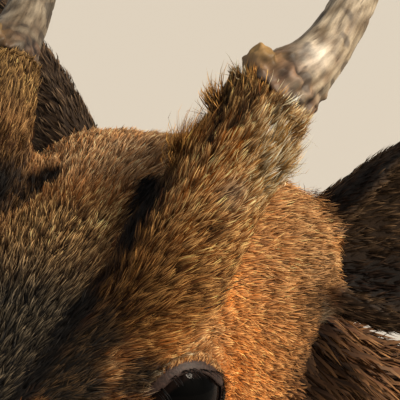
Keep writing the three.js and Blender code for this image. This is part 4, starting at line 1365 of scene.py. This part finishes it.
# Polished ivory: cream with faint yellow clouds and a smooth, bright sheen.
def ivory():
    material = new_material("polished_tusk_ivory")
    place = node(material, "ShaderNodeTexCoord")
    grain = node(material, "ShaderNodeTexNoise", {
        "Vector": place.outputs["Object"], "Scale": 1 / (IVORY_CLOUD * MM), "Detail": 4,
    })
    tone = node(material, "ShaderNodeValToRGB", {"Fac": grain.outputs["Fac"]})
    for stop, (at, colour) in zip(tone.color_ramp.elements, IVORY_TONES):
        stop.position = at
        stop.color = rgba(colour)
    surface = node(material, "ShaderNodeBsdfPrincipled", {
        "Base Color": tone.outputs["Color"], "Roughness": 0.3, "IOR": 1.54,
    })
    node(material, "ShaderNodeOutputMaterial", {"Surface": surface.outputs["BSDF"]})
    return material


tusk_ivory = ivory()
for side_name in SIDES:
    tusk, tusk_points, _ = refined(f"tusk_{side_name}_fine", f"tusk_{side_name}", TUSK_VOXEL, rounds=5)
    move_points(tusk, tusk_points)
    mounted(tusk, tusk_ivory)
    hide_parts(f"tusk_{side_name}")


# Antlers
# Dead bone, shed and regrown each year: rough and beaded at the coronet, furrowed along the beam
# where the vessels ran, and smoother towards the hooked tip. Earth stains its furrows.
ANTLER_LINE = [
    (28.6, 32, 46.2), (32.4, 41, 49.4), (34.9, 50, 51.8), (36.4, 59.3, 55), (38.1, 69.4, 62),
    (39.4, 77.6, 71.6), (39.6, 83.4, 83.4), (38, 88, 95), (34.6, 93.6, 104.2), (30, 100.4, 109.4),
]
ANTLER_VOXEL = 0.54
FURROWS = 11  # round the beam
FURROW_DEPTH = 0.32
BEADS = 70
BEAD_REACH = 13  # mm up the beam from the coronet
BEAD_RADIUS = (0.7, 1.5)
BEAD_SEED = 31
CORONET_AT = np.array([31.8, 40.6, 49.1])
CORONET_FACES = unit(np.array([0.5, 0.62, 0.6]))
BROW_KNOB = np.array([31.8, 38.6, 57.6])
PAINTED_HIGHLIGHT_AT = np.array([38.6, 49.5, 56])  # where a white highlight is painted on the antler
GRAIN_ROUND = 4.5  # mm, radius of the beam as its grain is laid out round it
GRAIN_ALONG = 0.16  # length that the grain gives to a millimetre of beam, so that it runs lengthwise
GRAINS = 1.4  # on a millimetre round the beam
SPECKS = 1.1  # on a millimetre round the beam

BEAM = (linear("#6f5f4a"), linear("#bdae96"))  # its furrows and its ridges
BURR = (linear("#21130d"), linear("#775c47"))
LIT_KNOB_TOP = linear("#a07f4c")
EARTH_STAIN = linear("#443a32")
PAINTED_HIGHLIGHT_WHITE = linear("#fff8ec")
RIGHT_ANTLER_SHADE = 0.55  # the right antler is darkened all over, as painted shade


NOISE_WAVES = 14


def soft_noise(points, size, seed):
    """Smooth noise from -1 to 1 at points in millimetres: a sum of waves in random directions."""
    draw = np.random.default_rng(seed)
    total = np.zeros(len(points))
    for _ in range(NOISE_WAVES):
        way = unit(draw.normal(size=3)) * draw.uniform(0.6, 1.7) * 2 * math.pi / size
        total += np.sin(points @ way + draw.uniform(0, 2 * math.pi))
    return total / 4


# Weathered bone: dry, with a dull sheen, brown in its furrows, pale on its ridges and finely specked.
def antler_bone():
    material = new_material("weathered_antler_bone")
    grain = node(material, "ShaderNodeAttribute", attribute_name="grain_place")
    colour = node(material, "ShaderNodeAttribute", attribute_name="bone_colour")
    long_grain = node(material, "ShaderNodeTexNoise", {
        "Vector": grain.outputs["Vector"], "Scale": GRAINS, "Detail": 7, "Roughness": 0.7,
    })
    tone = node(material, "ShaderNodeMapRange", {
        "Value": long_grain.outputs["Fac"], "From Min": 0.3, "From Max": 0.7, "To Min": 0.5, "To Max": 1.3,
    })
    shaded = node(material, "ShaderNodeVectorMath", {
        0: colour.outputs["Color"], "Scale": tone.outputs["Result"],
    }, operation="SCALE")
    specks = node(material, "ShaderNodeTexVoronoi", {
        "Vector": grain.outputs["Vector"], "Scale": SPECKS, "Randomness": 1.0,
    })
    is_speck = node(material, "ShaderNodeMapRange", {
        "Value": specks.outputs["Distance"], "From Min": 0.1, "From Max": 0.22,
        "To Min": 0.6, "To Max": 0.0,
    })
    specked = node(material, "ShaderNodeMix", {
        "Factor": is_speck.outputs["Result"], 6: shaded.outputs["Vector"], 7: rgba("#3b2c20"),
    }, data_type="RGBA")
    bump = node(material, "ShaderNodeBump", {
        "Height": long_grain.outputs["Fac"], "Strength": 0.6, "Distance": 0.3 * MM,
    })
    surface = node(material, "ShaderNodeBsdfPrincipled", {
        "Base Color": specked.outputs[2], "Roughness": 0.55, "IOR": 1.54, "Specular IOR Level": 0.3,
        "Normal": bump.outputs["Normal"],
    })
    node(material, "ShaderNodeOutputMaterial", {"Surface": surface.outputs["BSDF"]})
    return material


def along_beam(local):
    """How far along the antler's line each point is, as a share and in mm, and its angle round it."""
    _, place = distance_to_line(local, ANTLER_LINE)
    line = np.array(ANTLER_LINE)
    steps = np.concatenate([[0], np.cumsum(np.linalg.norm(np.diff(line, axis=0), axis=1))])
    at = place * steps[-1]
    middle = np.stack([np.interp(at, steps, line[:, k]) for k in range(3)], 1)
    ahead = unit(np.stack([np.interp(at, steps, np.gradient(line[:, k], steps)) for k in range(3)], 1))
    fore = unit(np.cross(ahead, np.array([1.0, 0, 0])))
    aside = np.cross(ahead, fore)
    off = local - middle
    return place, at, np.arctan2(np.sum(off * aside, 1), np.sum(off * fore, 1))


def add_beads(height, local, past_coronet):
    """Raises the bone in small beads round the coronet."""
    draw = np.random.default_rng(BEAD_SEED)
    near = np.flatnonzero((past_coronet < BEAD_REACH) & (past_coronet > 0.5))
    for pick in draw.choice(near, BEADS):
        radius = draw.uniform(*BEAD_RADIUS)
        away = np.sum((local - local[pick]) ** 2, 1)
        height += 0.55 * radius * np.exp(-away / radius**2) * step(BEAD_REACH, 2, past_coronet[pick])


def make_antler(side_name, side, material):
    solid = f"antler_{side_name}"
    antler, points, normals = refined(f"{solid}_bone", solid, ANTLER_VOXEL, rounds=10)
    mirror = np.array([side, 1, 1])
    local = to_head(points) * mirror
    place, at, angle = along_beam(local)
    past_coronet = (local - CORONET_AT) @ CORONET_FACES
    at_knob = ball(local, BROW_KNOB, (6, 6, 6))
    rough = np.clip(step(16, 2, past_coronet) + at_knob, 0, 1)
    wander = soft_noise(local, 22, seed=3) * 1.3
    furrow = np.sin(FURROWS * angle + wander * 2.5) * 0.5
    furrow = np.minimum(furrow + np.sin((FURROWS * 2 + 1) * angle - wander * 3) * 0.3, 0.25)
    height = FURROW_DEPTH * furrow * (1 - 0.75 * step(0.55, 0.95, place)) * (1 + 0.5 * rough)
    height += 0.28 * rough * soft_noise(local, 3.4, seed=8) + 0.12 * soft_noise(local, 1.9, seed=9) * rough
    add_beads(height, local, past_coronet)
    move_points(antler, points + normals * (height * step(-0.2, 0.6, past_coronet))[:, None] * MM)

    grain = np.stack([np.cos(angle) * GRAIN_ROUND, np.sin(angle) * GRAIN_ROUND, at * GRAIN_ALONG], 1)
    attribute = antler.data.attributes.new("grain_place", "FLOAT_VECTOR", "POINT")
    attribute.data.foreach_set("vector", grain.astype(np.float32).ravel())

    ridge = np.clip(0.5 + 0.55 * furrow + 0.3 * soft_noise(local, 6, seed=12), 0, 1)[:, None]
    clot = np.clip(0.45 + 0.5 * soft_noise(local, 3.6, seed=8), 0, 1)[:, None]
    in_burr = np.clip(rough + 0.3 * soft_noise(local, 9, seed=4), 0, 1)[:, None]
    bone_colour = blend(blend(*BEAM, ridge), blend(*BURR, clot), in_burr)
    stain = soft_noise(local * np.array([1.6, 1, 1]), 7, seed=21)
    stained = step(0.55, 1.0, stain) * step(0.85, 0.4, place)
    bone_colour = blend(bone_colour, EARTH_STAIN, 0.75 * stained[:, None])
    # Painted light: the upward faces round the brow knob are painted golden.
    faces_up = ((normals @ head_turn) * mirror)[:, 2]
    lit_knob_top = ball(local, BROW_KNOB + np.array([0, 0, 3]), (5, 5, 3.5)) * step(-0.1, 0.6, faces_up)
    bone_colour = blend(bone_colour, LIT_KNOB_TOP, 0.85 * lit_knob_top[:, None])
    # Painted highlight: a white patch on the beam, strongest on its ridges.
    painted_highlight = ball(local, PAINTED_HIGHLIGHT_AT, (2.6, 4.5, 2.4))[:, None]
    bone_colour = blend(bone_colour, PAINTED_HIGHLIGHT_WHITE, painted_highlight * np.clip(0.2 + 0.4 * ridge, 0, 1))
    # Painted shade: the upper part of the antler is darkened.
    bone_colour = bone_colour * (1 - 0.25 * step(0.3, 0.5, place))[:, None]
    # Painted shade: the right antler is darkened all over.
    if side == RIGHT:
        bone_colour = bone_colour * RIGHT_ANTLER_SHADE
    add_colour(antler, "bone_colour", bone_colour)
    mounted(antler, material)
    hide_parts(solid)


bone = antler_bone()
for side_name, side in SIDES.items():
    make_antler(side_name, side, bone)


# Hooves and dew claws
# Black horn that grows down from the coat in faint rings and wears to a satin, scuffed face. Each
# foot has two hooves and, higher up behind them, two dew claws.
RING_GAP = 1.9  # mm between growth rings
RING_HEIGHT = 0.09
RING_BAND = 6.3  # makes one band of the wave pattern as wide as two rings
SCUFF = 3  # mm across
HORN_TONES = ((0.35, "#15110f"), (0.75, "#4a3c32"))  # place on the scuffs' range, colour
CLAW_VOXEL = {"hoof": 1.1, "dew_claw": 0.75}


# Hoof horn: black and satin, with paler, duller patches where it is scuffed.
def hoof_horn():
    material = new_material("black_hoof_horn")
    place = node(material, "ShaderNodeTexCoord")
    rings = node(material, "ShaderNodeTexWave", {
        "Vector": place.outputs["Object"], "Scale": 1 / (RING_GAP * MM * RING_BAND),
        "Distortion": 2.5, "Detail": 3, "Detail Scale": 2.0,
    }, bands_direction="Z")
    scuff = node(material, "ShaderNodeTexNoise", {
        "Vector": place.outputs["Object"], "Scale": 1 / (SCUFF * MM), "Detail": 6, "Roughness": 0.7,
    })
    tone = node(material, "ShaderNodeValToRGB", {"Fac": scuff.outputs["Fac"]})
    for stop, (at, colour) in zip(tone.color_ramp.elements, HORN_TONES):
        stop.position = at
        stop.color = rgba(colour)
    gloss = node(material, "ShaderNodeMapRange", {
        "Value": scuff.outputs["Fac"], "From Min": 0.3, "From Max": 0.7, "To Min": 0.32, "To Max": 0.6,
    })
    bump = node(material, "ShaderNodeBump", {
        "Height": rings.outputs["Fac"], "Strength": 0.45, "Distance": 0.3 * MM,
    })
    surface = node(material, "ShaderNodeBsdfPrincipled", {
        "Base Color": tone.outputs["Color"], "Roughness": gloss.outputs["Result"], "IOR": 1.54,
        "Normal": bump.outputs["Normal"],
    })
    node(material, "ShaderNodeOutputMaterial", {"Surface": surface.outputs["BSDF"]})
    return material


def make_claw(limb, kind, part, material):
    solid = f"{limb}_{kind}_{part}"
    claw, points, normals = refined(f"{solid}_horn", solid, CLAW_VOXEL[kind], rounds=3)
    points[:, 2] = np.maximum(points[:, 2], 0)
    rings = np.sin(points[:, 2] / MM * 2 * math.pi / RING_GAP)
    wall = step(0.5, 2.5, points[:, 2] / MM) if kind == "hoof" else 1.0
    points = points + normals * (RING_HEIGHT * rings * wall)[:, None] * MM
    points[:, 2] = np.maximum(points[:, 2], 0)
    move_points(claw, points)
    mounted(claw, material)
    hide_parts(solid)


horn = hoof_horn()
for limb in LIMBS:
    for part in ("inner", "outer"):
        for kind in CLAW_VOXEL:
            make_claw(limb, kind, part, horn)


# Floor and light
# A plain pale floor that reaches past the horizon of every view, and a studio's soft light: a broad,
# warm key from above the animal's left, a weak fill from its front right and a pale room all round.
FLOOR_REACH = 90  # metres
ROOM_LIGHT = 0.38


# Matt paint: one even, warm grey without a sheen, so that only the animal's shadow marks it.
def floor_paint():
    material = new_material("matt_floor_paint")
    surface = node(material, "ShaderNodeBsdfPrincipled", {"Base Color": rgba("#bfbcb6"), "Roughness": 0.9})
    node(material, "ShaderNodeOutputMaterial", {"Surface": surface.outputs["BSDF"]})
    return material


floor_corners = np.array([(-1, -1, 0), (1, -1, 0), (1, 1, 0), (-1, 1, 0)]) * FLOOR_REACH
floor = mesh_object("floor", floor_corners, np.array([(0, 1, 2, 3)]))
floor.data.materials.append(floor_paint())


def sun(name, direction, strength, softness, colour):
    """A far light from a direction, with its softness as its width in degrees."""
    data = bpy.data.lights.new(name, "SUN")
    data.energy = strength
    data.angle = math.radians(softness)
    data.color = linear(colour)
    lamp = bpy.data.objects.new(name, data)
    lamp.rotation_mode = "QUATERNION"
    lamp.rotation_quaternion = Vector(direction).to_track_quat("Z", "Y")
    bpy.context.scene.collection.objects.link(lamp)


sun("key", (1.15, 0.15, 0.9), 5.4, 14, "#ffefd8")
sun("fill", (-0.6, -1, 0.7), 0.45, 60, "#eef3ff")

world = bpy.data.worlds.new("room")
world.use_nodes = True
room = world.node_tree.nodes["Background"]
room.inputs["Color"].default_value = rgba("#e8e6e2")
room.inputs["Strength"].default_value = ROOM_LIGHT
bpy.context.scene.world = world
bpy.context.scene.view_settings.view_transform = "Standard"
